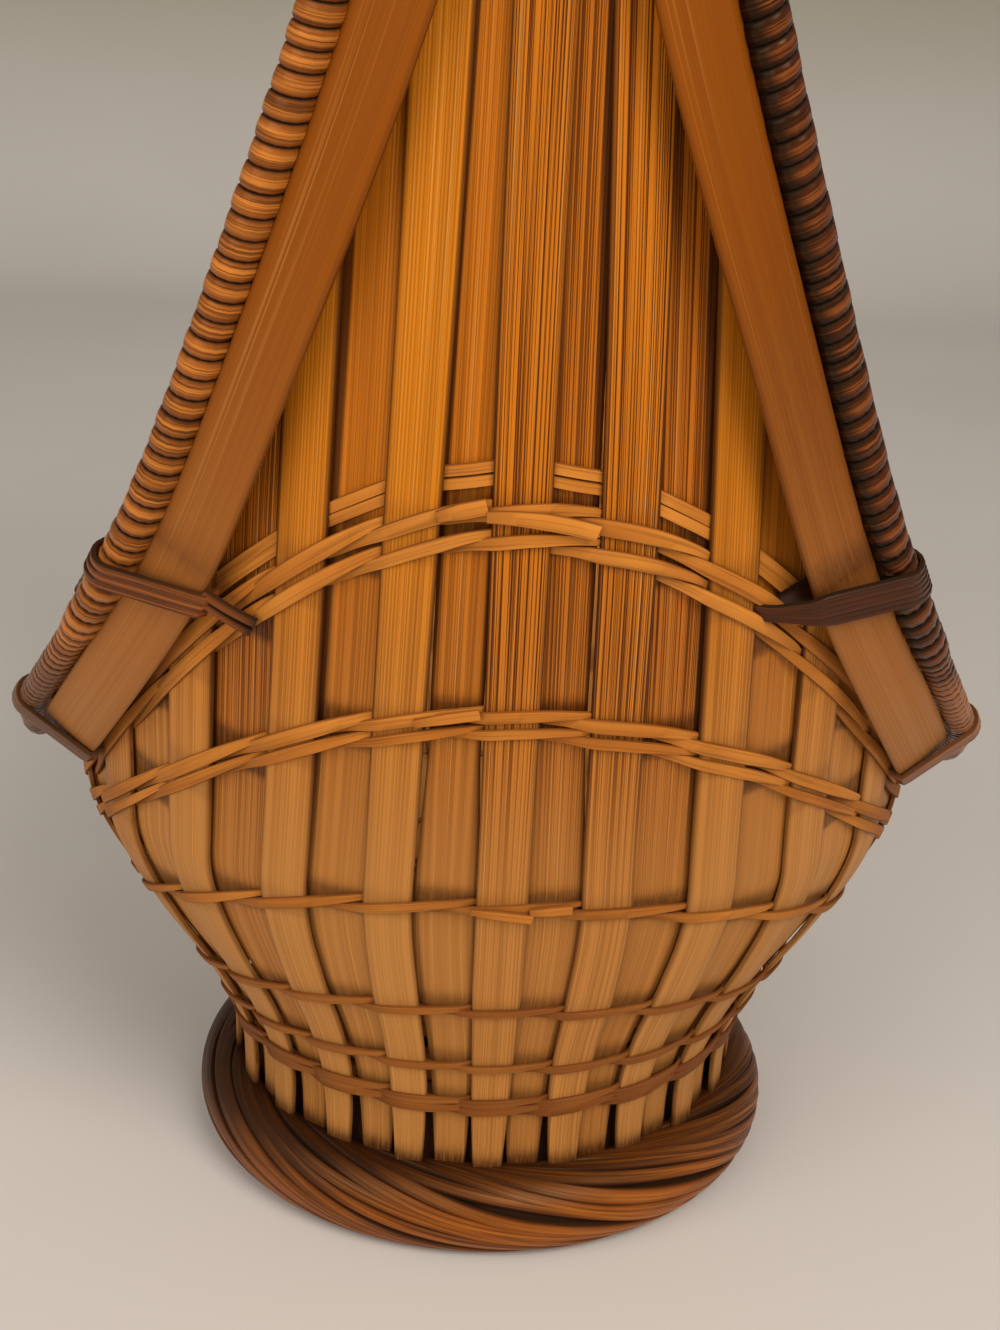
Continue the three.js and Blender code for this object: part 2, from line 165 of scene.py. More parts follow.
def evenly(route: Array, count: int) -> Array:
    """A route with the same shape and a count of evenly spaced points."""
    run = lengths_along(route)
    return read_off(np.linspace(0.0, run[-1], count), run, route)


def smooth_route(points: Array, per_span: int) -> Array:
    """A smooth line through points, with more even bends where they lie close together.

    Args:
        points: Points in order.
        per_span: How many steps each span is cut into.

    Returns:
        The points of the smooth line.
    """
    padded = np.vstack([2 * points[0] - points[1], points, 2 * points[-1] - points[-2]])
    knots = np.concatenate([[0.0], np.cumsum(np.sqrt(np.linalg.norm(np.diff(padded, axis=0), axis=1)))])
    pieces = []
    for index in range(1, len(padded) - 2):
        spots = np.linspace(knots[index], knots[index + 1], per_span, endpoint=False)[:, None]
        first, second, third, fourth = padded[index - 1:index + 3]
        k0, k1, k2, k3 = knots[index - 1:index + 3]
        a1 = ((k1 - spots) * first + (spots - k0) * second) / (k1 - k0)
        a2 = ((k2 - spots) * second + (spots - k1) * third) / (k2 - k1)
        a3 = ((k3 - spots) * third + (spots - k2) * fourth) / (k3 - k2)
        b1 = ((k2 - spots) * a1 + (spots - k0) * a2) / (k2 - k0)
        b2 = ((k3 - spots) * a2 + (spots - k1) * a3) / (k3 - k1)
        pieces.append(((k2 - spots) * b1 + (spots - k1) * b2) / (k2 - k1))
    return np.vstack(pieces + [points[-1:]])


def slat_width(share: Values) -> Array:
    """Width of the frame's rail slat at a share of its length: 11 at the low end, 10 at the tip."""
    return 11.0 - np.asarray(share, float)


@dataclass(frozen=True)
class Profile:
    """A smooth line through stations, by cubic pieces whose slopes follow the neighbours."""

    stations: Stations

    def at(self, where: Values) -> Array:
        """The line's value at each place.

        Args:
            where: Places along the line.

        Returns:
            The values there.
        """
        spots, values = np.array(self.stations).T
        slopes = np.empty_like(values)
        slopes[1:-1] = (values[2:] - values[:-2]) / (spots[2:] - spots[:-2])
        slopes[0] = (values[1] - values[0]) / (spots[1] - spots[0])
        slopes[-1] = (values[-1] - values[-2]) / (spots[-1] - spots[-2])
        place = np.clip(np.asarray(where, float), spots[0], spots[-1])
        index = np.clip(np.searchsorted(spots, place) - 1, 0, len(spots) - 2)
        span = spots[index + 1] - spots[index]
        share = (place - spots[index]) / span
        rise = values[index + 1] - values[index]
        start = slopes[index] * span - rise
        end = rise - slopes[index + 1] * span
        return values[index] + rise * share + share * (1 - share) * (start * (1 - share) + end * share)


@dataclass(frozen=True)
class WovenRow:
    """One twined row: where it runs on the hull and how its splints lie.

    side is the share of the rise to the bowl on the low side, prow the share of the rise to the tip.
    pairs holds each pair's height above the row's line and its splints' half width.
    aged is how far the splints have darkened: most towards the foot.
    """

    node: str
    side: float
    prow: float
    pairs: Stations
    band: float
    twist: float
    aged: float = 0.0


RIM = WovenRow("rim_band", 0.951, 0.506, ((2.1, 1.25), (-2.4, 1.15)), band=7.0, twist=1.35)
ROWS = (
    WovenRow("neck_row", 0.02, 0.006, ((0.9, 0.95), (-0.9, 1.05)), band=3.4, twist=0.7, aged=0.62),
    WovenRow("weave_row_5", 0.157, 0.046, ((0.0, 0.9),), band=2.4, twist=0.8, aged=0.5),
    WovenRow("weave_row_4", 0.304, 0.105, ((0.0, 0.9),), band=2.6, twist=0.9, aged=0.45),
    WovenRow("weave_row_3", 0.569, 0.205, ((0.0, 1.05),), band=3.4, twist=1.35, aged=0.2),
    WovenRow("weave_row_2", 0.794, 0.364, ((1.6, 1.2), (-1.6, 1.0)), band=5.0, twist=1.0),
    RIM,
)


@dataclass
class Hull:
    """The basket's shell: level ellipses from the foot through the neck and the bowl to the prow tips."""

    foot_top: float = 14.8
    foot_flare: float = 49.0
    neck_height: float = 29.0
    neck_radius: float = 50.0
    bowl_height: float = 80.0
    bowl_half_width: float = 77.0
    tip_height: float = 268.0
    prow_reach: float = 105.0
    quarter_strips: int = 11
    crowding: float = 0.5
    crowding_power: float = 0.65
    slope_step: float = 0.5
    row_passes: int = 6
    side_flare: Stations = ((0.275, 0.26), (0.55, 0.63), (0.8, 0.905))
    prow_sweep: Stations = (
        (0.042, 0.045), (0.105, 0.145), (0.205, 0.29), (0.364, 0.545), (0.506, 0.727), (0.8, 0.89),
    )
    rail_sweep: Stations = ((0.069, 0.915), (0.293, 0.621), (0.447, 0.471), (0.745, 0.223), (1.0, 0.069))
    half_width: Profile = field(init=False)
    reach: Profile = field(init=False)
    rail_offset: Profile = field(init=False)

    def __post_init__(self) -> None:
        """Works out the side, prow and rail lines from the shares above."""
        neck, bowl, tip = self.neck_height, self.bowl_height, self.tip_height
        slim, wide, far = self.neck_radius, self.bowl_half_width, self.prow_reach
        foot = ((self.foot_top, self.foot_flare), (neck, slim))
        side = tuple((mix(neck, bowl, rise), mix(slim, wide, out)) for rise, out in self.side_flare)
        prow = tuple((mix(neck, tip, rise), mix(slim, far, out)) for rise, out in self.prow_sweep)
        self.half_width = Profile((*foot, *side, (bowl, wide), (tip, wide)))
        self.reach = Profile((*foot, *prow, (tip, far)))
        rail = tuple((mix(bowl, tip, rise), wide * out) for rise, out in self.rail_sweep)
        self.rail_offset = Profile(rail)

    def spot(self, side: Side, angle: Values, height: Values, off: Values) -> tuple[Array, Array]:
        """Points off the shell along its outward normal.

        Args:
            side: The prow that the angle is counted from.
            angle: Angle from the prow's middle, positive towards +X.
            height: Height above the floor.
            off: Distance from the shell, positive outwards.

        Returns:
            The points and the outward normals.
        """
        parts = (np.asarray(part, float) for part in (angle, height, off))
        angle, height, off = np.broadcast_arrays(*parts)
        step = self.slope_step
        wide, far = self.half_width.at(height), self.reach.at(height)
        wide_slope = (self.half_width.at(height + step) - self.half_width.at(height - step)) / (2 * step)
        far_slope = (self.reach.at(height + step) - self.reach.at(height - step)) / (2 * step)
        across, ahead = np.sin(angle), np.cos(angle)
        lean = -(across ** 2) * wide_slope / wide - (ahead ** 2) * far_slope / far
        normal = unit(np.stack([across / wide, -ahead / far, lean], axis=-1))
        point = np.stack([wide * across, -far * ahead, height], axis=-1) + normal * off[..., None]
        turn = np.array([1.0, side.value, 1.0])
        return point * turn, normal * turn

    def strip_angle(self, strip: Values, height: Values) -> Array:
        """Angle of a strip from the prow's middle: the strips crowd together towards the tip.

        Args:
            strip: Place, counted in strips from the prow's middle.
            height: Height above the floor.

        Returns:
            The angle.
        """
        share = np.asarray(strip, float) / self.quarter_strips
        climb = (np.asarray(height, float) - self.neck_height) / (self.tip_height - self.neck_height)
        crowding = self.crowding * np.maximum(climb, 0) ** self.crowding_power
        return math.pi / 2 * ((1 - crowding) * share + crowding * share ** 3)

    def strip_pitch(self, strip: float, height: Array) -> Array:
        """Distance between the middles of neighbouring strips at each height."""
        angles = self.strip_angle(strip + np.array([[-0.5], [0.5]]), height)
        return np.linalg.norm(np.diff(self.spot(Side.NEAR, angles, height, 0.0)[0], axis=0)[0], axis=-1)

    def row_height(self, row: WovenRow, angle: Array) -> Array:
        """Height of a woven row's line.

        Args:
            row: The row.
            angle: Angle from either prow's middle.

        Returns:
            The height at each angle.
        """
        side = mix(self.neck_height, self.bowl_height, row.side)
        prow = mix(self.neck_height, self.tip_height, row.prow)
        return mix(side, prow, np.cos(angle) ** 2)

    def on_row(self, row: WovenRow, place: Array) -> tuple[Array, Array]:
        """Where a woven row's line crosses the strips.

        Args:
            row: The row.
            place: Places, counted in strips from a prow's middle.

        Returns:
            The angle and the height at each place.
        """
        height = np.full_like(place, self.bowl_height)
        for _ in range(self.row_passes):
            angle = self.strip_angle(place, height)
            height = self.row_height(row, angle)
        return angle, height


class NodeBoard:
    """Lays out one material's shader nodes."""

    def __init__(self, name: str) -> None:
        """Starts a material with a bare surface shader.

        Args:
            name: The material's name.
        """
        self.material = bpy.data.materials.new(name)
        self.material.use_nodes = True
        self.tree = self.material.node_tree
        self.tree.nodes.clear()
        self.surface = self.add("ShaderNodeBsdfPrincipled")
        self.add("ShaderNodeOutputMaterial", {"Surface": self.surface.outputs["BSDF"]})

    def feed(self, node: bpy.types.Node, inputs: Feeds) -> None:
        """Links sockets to a node's inputs, or sets the inputs to plain values.

        Args:
            node: The node.
            inputs: Sockets and values, by the input's name or number.
        """
        for key, source in inputs.items():
            if isinstance(source, Socket):
                self.tree.links.new(source, node.inputs[key])
            else:
                node.inputs[key].default_value = source

    def add(self, kind: str, inputs: Feeds | None = None, **settings: object) -> bpy.types.Node:
        """Adds a node.

        Args:
            kind: The node's type.
            inputs: Sockets and values that it is fed with.
            settings: Its properties.

        Returns:
            The node.
        """
        node = self.tree.nodes.new(kind)
        for key, value in settings.items():
            setattr(node, key, value)
        self.feed(node, inputs or {})
        return node

    def wear(self, inputs: Feeds) -> bpy.types.Material:
        """Feeds the surface shader and hands over the finished material."""
        self.feed(self.surface, inputs)
        return self.material

    def attribute(self, name: str) -> Socket:
        """A mark that was painted on the mesh."""
        return self.add("ShaderNodeAttribute", attribute_name=name).outputs["Fac"]

    def place(self) -> Socket:
        """The point on the object, in metres."""
        return self.add("ShaderNodeTexCoord").outputs["Object"]

    def noise(self, place: Socket, scale: float, detail: float, rough: float = 0.5) -> Socket:
        """Cloudy noise, about 0.3 to 0.7."""
        inputs = {"Vector": place, "Scale": scale, "Detail": detail, "Roughness": rough}
        return self.add("ShaderNodeTexNoise", inputs).outputs["Fac"]

    def grain_noise(self, stretch: Pair, detail: float = 2.0, rough: float = 0.55) -> Socket:
        """Noise drawn out along the grain.

        Args:
            stretch: How fast it changes per millimetre, across and along the grain.
            detail: How many finer layers it has.
            rough: How strong the finer layers are.

        Returns:
            The noise.
        """
        grain = self.add("ShaderNodeUVMap", uv_map=GRAIN).outputs["UV"]
        drawn = self.add("ShaderNodeMapping", {"Vector": grain, "Scale": (*stretch, 1.0)})
        return self.noise(drawn.outputs["Vector"], 1.0, detail, rough)

    def height(self, low: float, high: float) -> Socket:
        """0 below the low height and 1 above the high one, in millimetres above the floor."""
        split = self.add("ShaderNodeSeparateXYZ", {"Vector": self.place()})
        return self.span(split.outputs["Z"], (low * MM, high * MM))

    def span(self, value: Feed, between: Pair, to: Pair = (0.0, 1.0)) -> Socket:
        """Maps a range of values smoothly to another range.

        Args:
            value: What is mapped.
            between: The range that it comes from.
            to: The range that it goes to.

        Returns:
            The mapped value.
        """
        ends = dict(zip(("From Min", "From Max", "To Min", "To Max"), (*between, *to)))
        node = self.add("ShaderNodeMapRange", {"Value": value, **ends}, interpolation_type="SMOOTHSTEP")
        return node.outputs["Result"]

    def sum(self, kind: str, *values: Feed) -> Socket:
        """Takes values together one after another, each step kept between 0 and 1.

        Args:
            kind: The arithmetic.
            values: The values in order.

        Returns:
            The outcome.
        """
        total = values[0]
        for value in values[1:]:
            step = self.add("ShaderNodeMath", {0: total, 1: value}, operation=kind, use_clamp=True)
            total = step.outputs["Value"]
        return total

    def times(self, *values: Feed) -> Socket:
        """The product of values."""
        return self.sum("MULTIPLY", *values)

    def blend(self, share: Feed, first: Feed, second: Feed) -> Socket:
        """Mixes two colours by a share of the second."""
        inputs = {0: share, 6: first, 7: second}
        return self.add("ShaderNodeMix", inputs, data_type="RGBA", blend_type="MIX").outputs[2]

    def relief(self, pattern: Socket, strength: float, depth: float = 0.1) -> Socket:
        """Surface directions raised by a pattern, depth in millimetres."""
        inputs = {"Strength": strength, "Distance": depth * MM, "Height": pattern}
        return self.add("ShaderNodeBump", inputs).outputs["Normal"]


WARM_GLINT: Colour = (1.0, 0.72, 0.42, 1.0)
# pale fibre lines, partly a painted sheen
PALE_FIBRE_SHEEN = srgb(214, 156, 82)
SHADOW = srgb(52, 20, 6)


@dataclass(frozen=True)
class BambooFinish:
    """Split bamboo: long fibre lines, and stains beside the woven rows deepened with painted shade.

    The warmer top and the paler low part are painted light: warm light from above, and pale light thrown
    up from the floor lower down. The dark edges are painted shade where a neighbour covers the strip, and
    the pale fibre lines are partly painted sheen.

    The grain constants say how fast a pattern changes per millimetre, across and along the grain.
    """

    BROAD_GRAIN = (0.36, 0.003)
    FINE_GRAIN = (3.7, 0.004)
    PALE_GRAIN = (1.9, 0.005)
    FLECK_GRAIN = (2.6, 0.22)
    RUDDY_SHARE = 0.4
    FAINT_SHARE = 0.42
    DEEP_STAIN = 0.3

    name: str
    low: Colour
    high: Colour
    ruddy: Colour
    fibre: Colour
    fibre_strength: float
    warm_from: float = 62.0
    warm_to: float = 165.0
    low_fibre: float = 0.3
    pale: float = 0.4
    # how dark the painted shade along the edges gets
    edge: float = 0.85

    def make(self) -> bpy.types.Material:
        """Builds the material.

        Returns:
            The finished material.
        """
        board = NodeBoard(self.name)
        # painted light: warm light on the top, pale light thrown up from the floor on the low part
        warmth = board.height(self.warm_from, self.warm_to)
        ground = board.blend(warmth, self.low, self.high)
        bold = board.span(warmth, (0.0, 0.75), (self.low_fibre, 1.0))
        striped = board.span(board.attribute("tone"), (0.35, 0.65), (1.0, 0.0))
        ground = board.blend(board.times(striped, self.RUDDY_SHARE, bold), ground, self.ruddy)
        broad = board.span(board.grain_noise(self.BROAD_GRAIN), (0.36, 0.68), (0.0, 0.2))
        ground = board.blend(board.times(broad, bold), ground, self.fibre)
        fine = board.grain_noise(self.FINE_GRAIN, rough=0.6)
        lines = board.span(fine, (0.45, 0.57))
        faint = self.FAINT_SHARE * self.fibre_strength
        amount = board.times(lines, board.span(striped, (0.0, 1.0), (faint, self.fibre_strength)), bold)
        ground = board.blend(amount, ground, self.fibre)
        # pale fibre lines, partly painted sheen
        pale = board.span(board.grain_noise(self.PALE_GRAIN, rough=0.6), (0.58, 0.72), (0.0, self.pale))
        ground = board.blend(pale, ground, PALE_FIBRE_SHEEN)
        flecks = board.span(board.grain_noise(self.FLECK_GRAIN, 3.0, 0.7), (0.3, 0.62), (0.46, 0.78))
        # real staining mixed with painted shade, pulled towards SHADOW in streaky flecks
        stain = board.attribute("stain")
        stained_and_shaded = board.times(stain, board.sum("ADD", flecks, board.times(stain, self.DEEP_STAIN)))
        ground = board.blend(stained_and_shaded, ground, SHADOW)
        # painted shade along the edges where a neighbour covers the strip, stronger higher up
        edge = board.span(board.attribute("rim"), (0.84, 1.0), (0.0, self.edge))
        edge = board.times(edge, board.span(warmth, (0.0, 0.6), (0.5, 1.0)))
        return board.wear({
            "Base Color": board.blend(edge, ground, SHADOW),
            "Roughness": board.span(lines, (0.0, 1.0), (0.46, 0.6)),
            "Specular IOR Level": 0.2,
            "Specular Tint": WARM_GLINT,
            "Normal": board.relief(fine, 0.3),
        })


@dataclass(frozen=True)
class CaneFinish:
    """Split cane or bamboo splint: satin, with painted shade darkening it towards its edges where it meets
    its neighbours, and fibres along its run.

    low is the colour of the low turns; the painted highlight along the ridge of each turn has its own
    colour.
    """

    FIBRE_GRAIN = (2.2, 0.03)
    SHIFT_GRAIN = (0.1, 0.035)
    PATCH_SCALE = 24.0
    LOW_EDGE = 0.62
    DULL_EDGE = 0.85

    name: str
    body: Colour
    light: Colour
    dark: Colour
    roughness: float
    edge_from: float = 0.55
    edge: float = 0.8
    patch: float = 0.4
    specular: float = 0.3
    low: Colour | None = None
    low_from: float = 104.0
    low_to: float = 122.0
    # colour of the painted highlight along each turn's ridge
    crown: Colour | None = None
    highlight_share: float = 0.75
    fibres: float = 0.4
    relief: float = 0.3
    coat: float = 0.0

    def make(self) -> bpy.types.Material:
        """Builds the material.

        Returns:
            The finished material.
        """
        board = NodeBoard(self.name)
        rim = board.attribute("rim")
        fibre = board.grain_noise(self.FIBRE_GRAIN, 3.0, 0.65)
        shift = board.span(board.grain_noise(self.SHIFT_GRAIN), (0.36, 0.64))
        share = board.sum("ADD", board.times(shift, 0.5), board.times(board.attribute("tone"), 0.5))
        ground = board.blend(share, self.body, self.light)
        edge = board.span(rim, (self.edge_from, 1.0), (0.0, self.edge))
        if self.low is not None:
            above = board.height(self.low_from, self.low_to)
            ground = board.blend(above, self.low, ground)
            edge = board.times(edge, board.span(above, (0.0, 1.0), (self.LOW_EDGE, 1.0)))
        cloud = board.noise(board.place(), self.PATCH_SCALE, 2.0)
        ground = board.blend(board.span(cloud, (0.42, 0.7), (0.0, self.patch)), ground, self.dark)
        # painted highlight along the middle of each turn, broken by the fibres
        if self.crown is not None:
            highlit = board.span(rim, (0.1, 0.72), (self.highlight_share, 0.0))
            clean = board.span(fibre, (0.4, 0.58), (1.0, 0.15))
            highlit = board.times(highlit, clean, board.height(self.low_from, self.low_to))
            ground = board.blend(highlit, ground, self.crown)
        ground = board.blend(board.span(fibre, (0.48, 0.66), (0.0, self.fibres)), ground, self.dark)
        # painted shade along the edges, where turns and strands meet their neighbours
        ground = board.blend(edge, ground, self.dark)
        rough = board.span(fibre, (0.3, 0.7), (self.roughness - 0.06, self.roughness + 0.1))
        dull = board.span(rim, (0.66, 0.92), (0.0, self.DULL_EDGE))
        # the darkening mark: real staining and painted shade, such as on the wraps' slat side and the foot
        return board.wear({
            "Base Color": board.blend(board.attribute("stain"), ground, self.dark),
            "Roughness": board.sum("MAXIMUM", rough, dull),
            "Specular IOR Level": self.specular,
            "Specular Tint": WARM_GLINT,
            "Normal": board.relief(fibre, self.relief),
            "Coat Weight": self.coat,
            "Coat Roughness": 0.26,
        })


@dataclass(frozen=True)
class PlainFinish:
    """A plain, slightly cloudy surface for the floor, deeper in tone where it rises as the backdrop."""

    name: str
    body: Colour
    shade: Colour

    def make(self) -> bpy.types.Material:
        """Builds the material.

        Returns:
            The finished material.
        """
        board = NodeBoard(self.name)
        cloud = board.span(board.noise(board.place(), 3.0, 3.0), (0.35, 0.65), (0.0, 0.12))
        ground = board.blend(cloud, self.body, self.shade)
        ground = board.blend(board.height(20.0, 260.0), ground, self.shade)
        return board.wear({"Base Color": ground, "Roughness": 0.9})


class Finishes:
    """Every finish of the basket, made once."""

    WRAP = {"edge_from": 0.66, "edge": 1.0, "patch": 0.3, "fibres": 0.62, "relief": 0.7}
    LASHING = {"edge_from": 0.6, "fibres": 0.6, "relief": 0.6}

    def __init__(self) -> None:
        """Makes the materials."""
        self.proud = BambooFinish(
            "bamboo_proud", low=srgb(174, 118, 59), high=srgb(190, 112, 20), ruddy=srgb(184, 97, 16),
            fibre=srgb(74, 29, 2), fibre_strength=1.0).make()
        self.recessed = BambooFinish(
            "bamboo_recessed", low=srgb(168, 112, 55), high=srgb(180, 101, 18), ruddy=srgb(170, 87, 16),
            fibre=srgb(72, 28, 2), fibre_strength=0.9).make()
        self.slat = BambooFinish(
            "bamboo_slat", low=srgb(158, 102, 50), high=srgb(128, 65, 4), ruddy=srgb(124, 62, 6),
            fibre=srgb(92, 40, 4), fibre_strength=0.36, warm_from=85.0, warm_to=200.0, low_fibre=0.4,
            pale=0.16, edge=0.3).make()
        self.splint = CaneFinish(
            "splint_twined", body=srgb(172, 98, 26), light=srgb(210, 134, 50), dark=srgb(80, 36, 12),
            roughness=0.42, edge_from=0.8, edge=0.7, patch=0.25, coat=0.06).make()
        self.wrap_left = CaneFinish(
            "cane_wrap_red", body=srgb(98, 45, 10), light=srgb(160, 88, 28), dark=srgb(18, 5, 1),
            roughness=0.22, specular=0.26, low=srgb(122, 76, 46), crown=srgb(204, 126, 50),
            highlight_share=0.7, **self.WRAP).make()
        self.wrap_right = CaneFinish(
            "cane_wrap_dark", body=srgb(40, 14, 4), light=srgb(72, 30, 10), dark=srgb(6, 2, 1),
            roughness=0.2, specular=0.2, low=srgb(146, 88, 52), low_from=111.0, low_to=118.0,
            crown=srgb(142, 76, 32), highlight_share=0.66, **self.WRAP).make()
        self.lashing_left = CaneFinish(
            "cane_lashing", body=srgb(84, 38, 13), light=srgb(124, 62, 22), dark=srgb(22, 7, 2),
            roughness=0.34, crown=srgb(160, 90, 36), highlight_share=0.6, **self.LASHING).make()
        self.lashing_right = CaneFinish(
            "cane_lashing_dark", body=srgb(46, 17, 6), light=srgb(76, 32, 12), dark=srgb(10, 3, 1),
            roughness=0.3, **self.LASHING).make()
        self.rod = CaneFinish(
            "rattan_rod", body=srgb(46, 20, 9), light=srgb(60, 28, 13), dark=srgb(18, 6, 3),
            roughness=0.5, edge_from=0.9).make()
        self.foot = CaneFinish(
            "cane_foot", body=srgb(84, 38, 10), light=srgb(150, 80, 25), dark=srgb(28, 10, 4),
            roughness=0.42, edge_from=0.7, edge=0.95, patch=0.35, specular=0.25, low_from=-2.0, low_to=-1.0,
            crown=srgb(188, 110, 38), highlight_share=0.5, fibres=0.5, relief=0.5).make()
        self.base = CaneFinish(
            "splint_base", body=srgb(128, 78, 36), light=srgb(160, 104, 52), dark=srgb(46, 20, 9),
            roughness=0.5, edge_from=0.7).make()


def paint(mesh: bpy.types.Mesh, marks: dict[str, Values]) -> None:
    """Paints the marks that the finishes read.

    Args:
        mesh: The mesh.
        marks: Values at each point, or one value for all of them, by name.
    """
    for key, values in marks.items():
        spread = np.broadcast_to(values, len(mesh.vertices))
        mark = mesh.attributes.new(key, "FLOAT", "POINT")
        mark.data.foreach_set("value", np.ascontiguousarray(spread, dtype=np.float32))


@dataclass
class Sweep:
    """A section drawn along a route, with its own width and thickness at each point.

    seam brings the painted shade along the edges in to where a neighbour covers the piece, and slant
    moves its edges along the run.
    """

    TONE_SHIFT = (97.0, 531.0)
    SMOOTH_BELOW = math.radians(42)

    route: Array
    across: Array
    outward: Array
    half_width: Values
    half_depth: Values
    section: Section
    looped: bool = False
    tone: float = 0.5
    # how dark the piece is: real staining together with painted shade
    stain: Values = 0.0
    seam: Values = 1.0
    slant: Values = 0.0

    @classmethod
    def along(
        cls, route: Array, outward: Array, half_width: Values, half_depth: Values, section: Section,
        looped: bool = False, square: bool = True, **marks: Values,
    ) -> "Sweep":
        """A sweep whose width lies across its run and across the way its face looks.

        Args:
            route: Its run, point by point.
            outward: The way its face looks.
            half_width: Half its width.
            half_depth: Half its thickness.
            section: Its cross-section.
            looped: Whether the run ends where it began.
            square: Whether the face is turned square to the run.
            marks: Its tone, and how dark it is from real staining and painted shade.

        Returns:
            The sweep.
        """
        if looped:
            route, outward = (np.vstack([rows[:-1], rows[:1]]) for rows in (route, outward))
            step = np.roll(route[:-1], -1, axis=0) - np.roll(route[:-1], 1, axis=0)
            run = unit(np.vstack([step, step[:1]]))
        else:
            run = run_of(route)
        across = unit(np.cross(outward, run))
        face = unit(np.cross(run, across)) if square else outward
        return cls(route, across, face, half_width, half_depth, section, looped, **marks)

    def build(self, name: str) -> Piece:
        """Models the sweep as a grid that is bent into a closed shape.

        Args:
            name: The piece's name.

        Returns:
            The piece, at the origin, with its grain map and its painted marks.
        """
        outline = np.array(self.section.value)
        outline = np.vstack([outline, outline[:1]])
        aside, through = outline[None, :, :1], outline[None, :, 1:]
        sizes = (self.half_width, self.half_depth, self.stain, self.seam, self.slant)
        wide, deep, stain, seam, slant = (np.broadcast_to(part, len(self.route))[:, None] for part in sizes)
        rings = self.route[:, None] + self.across[:, None] * aside * wide[..., None]
        rings = rings + self.outward[:, None] * through * deep[..., None]
        rings = rings + np.cross(self.outward, self.across)[:, None] * aside * slant[..., None]
        run = np.broadcast_to(lengths_along(self.route)[:, None], rings.shape[:2])
        breadth = aside[..., 0] * wide
        stain = np.broadcast_to(stain, rings.shape[:2])
        rim = np.abs(aside[..., 0]) * seam
        if not self.looped:
            rings = np.concatenate([self._cap(rings[:1]), rings, self._cap(rings[-1:])])
            run, breadth, stain, rim = (
                np.concatenate([part[:1], part, part[-1:]]) for part in (run, breadth, stain, rim))
        grain = np.stack([breadth, run], axis=-1) + np.array(self.TONE_SHIFT) * self.tone
        marks = {"stain": stain, "rim": rim, "tone": np.full(rim.shape, self.tone)}
        return self._model(name, rings, grain, marks)

    @staticmethod
    def _cap(ring: Array) -> Array:
        """A ring drawn together to its middle, which closes an end."""
        return np.broadcast_to(ring[:, :-1].mean(axis=1, keepdims=True), ring.shape)

    @classmethod
    def _model(cls, name: str, rings: Array, grain: Array, marks: dict[str, Array]) -> Piece:
        """Adds a grid, bends it onto the rings and closes its seams.

        Args:
            name: The piece's name.
            rings: Places of the grid's points, row by row, in millimetres.
            grain: Grain map at each point.
            marks: Painted values at each point, by name.

        Returns:
            The closed piece.
        """
        rows, columns = rings.shape[:2]
        bpy.ops.object.select_all(action="DESELECT")
        bpy.ops.mesh.primitive_grid_add(x_subdivisions=columns - 1, y_subdivisions=rows - 1, size=1.0)
        piece = bpy.context.object
        piece.name = name
        mesh = piece.data
        mesh.name = name
        flat = np.empty(len(mesh.vertices) * 3)
        mesh.vertices.foreach_get("co", flat)
        flat = flat.reshape(-1, 3)
        column = np.rint((flat[:, 0] + 0.5) * (columns - 1)).astype(int)
        row = np.rint((flat[:, 1] + 0.5) * (rows - 1)).astype(int)
        mesh.vertices.foreach_set("co", (rings[row, column] * MM).ravel())
        corner = np.empty(len(mesh.loops), dtype=np.int32)
        mesh.loops.foreach_get("vertex_index", corner)
        layer = mesh.uv_layers.active
        layer.name = GRAIN
        layer.data.foreach_set("uv", grain[row, column][corner].ravel())
        paint(mesh, {key: values[row, column] for key, values in marks.items()})
        bpy.ops.object.mode_set(mode="EDIT")
        bpy.ops.mesh.select_all(action="SELECT")
        bpy.ops.mesh.remove_doubles(threshold=1e-6)
        bpy.ops.mesh.normals_make_consistent(inside=False)
        bpy.ops.object.mode_set(mode="OBJECT")
        bpy.ops.object.shade_smooth_by_angle(angle=cls.SMOOTH_BELOW)
        return piece


def joined(name: str, parts: list[Piece]) -> Piece:
    """Joins parts into one piece.

    Args:
        name: The joined piece's name.
        parts: The parts to join.

    Returns:
        The joined piece.
    """
    bpy.ops.object.select_all(action="DESELECT")
    for part in parts:
        part.select_set(True)
    bpy.context.view_layer.objects.active = parts[0]
    if len(parts) > 1:
        bpy.ops.object.join()
    parts[0].name = name
    parts[0].data.name = name
    return parts[0]


def dress(piece: Piece, material: bpy.types.Material, slot: str, *nodes: str) -> None:
    """Gives a piece its finish and sets it on the frame.

    Args:
        piece: The finished piece.
        material: Its finish.
        slot: The record's material slot; it is not used.
        nodes: The frame's nodes that the piece stands for.
    """
    piece.data.materials.clear()
    piece.data.materials.append(material)
    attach(piece, BODY)
    if nodes:
        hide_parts(*nodes)
    LOG.info("%s: %d faces, for %s", piece.name, len(piece.data.polygons), ", ".join(nodes) or "no node")


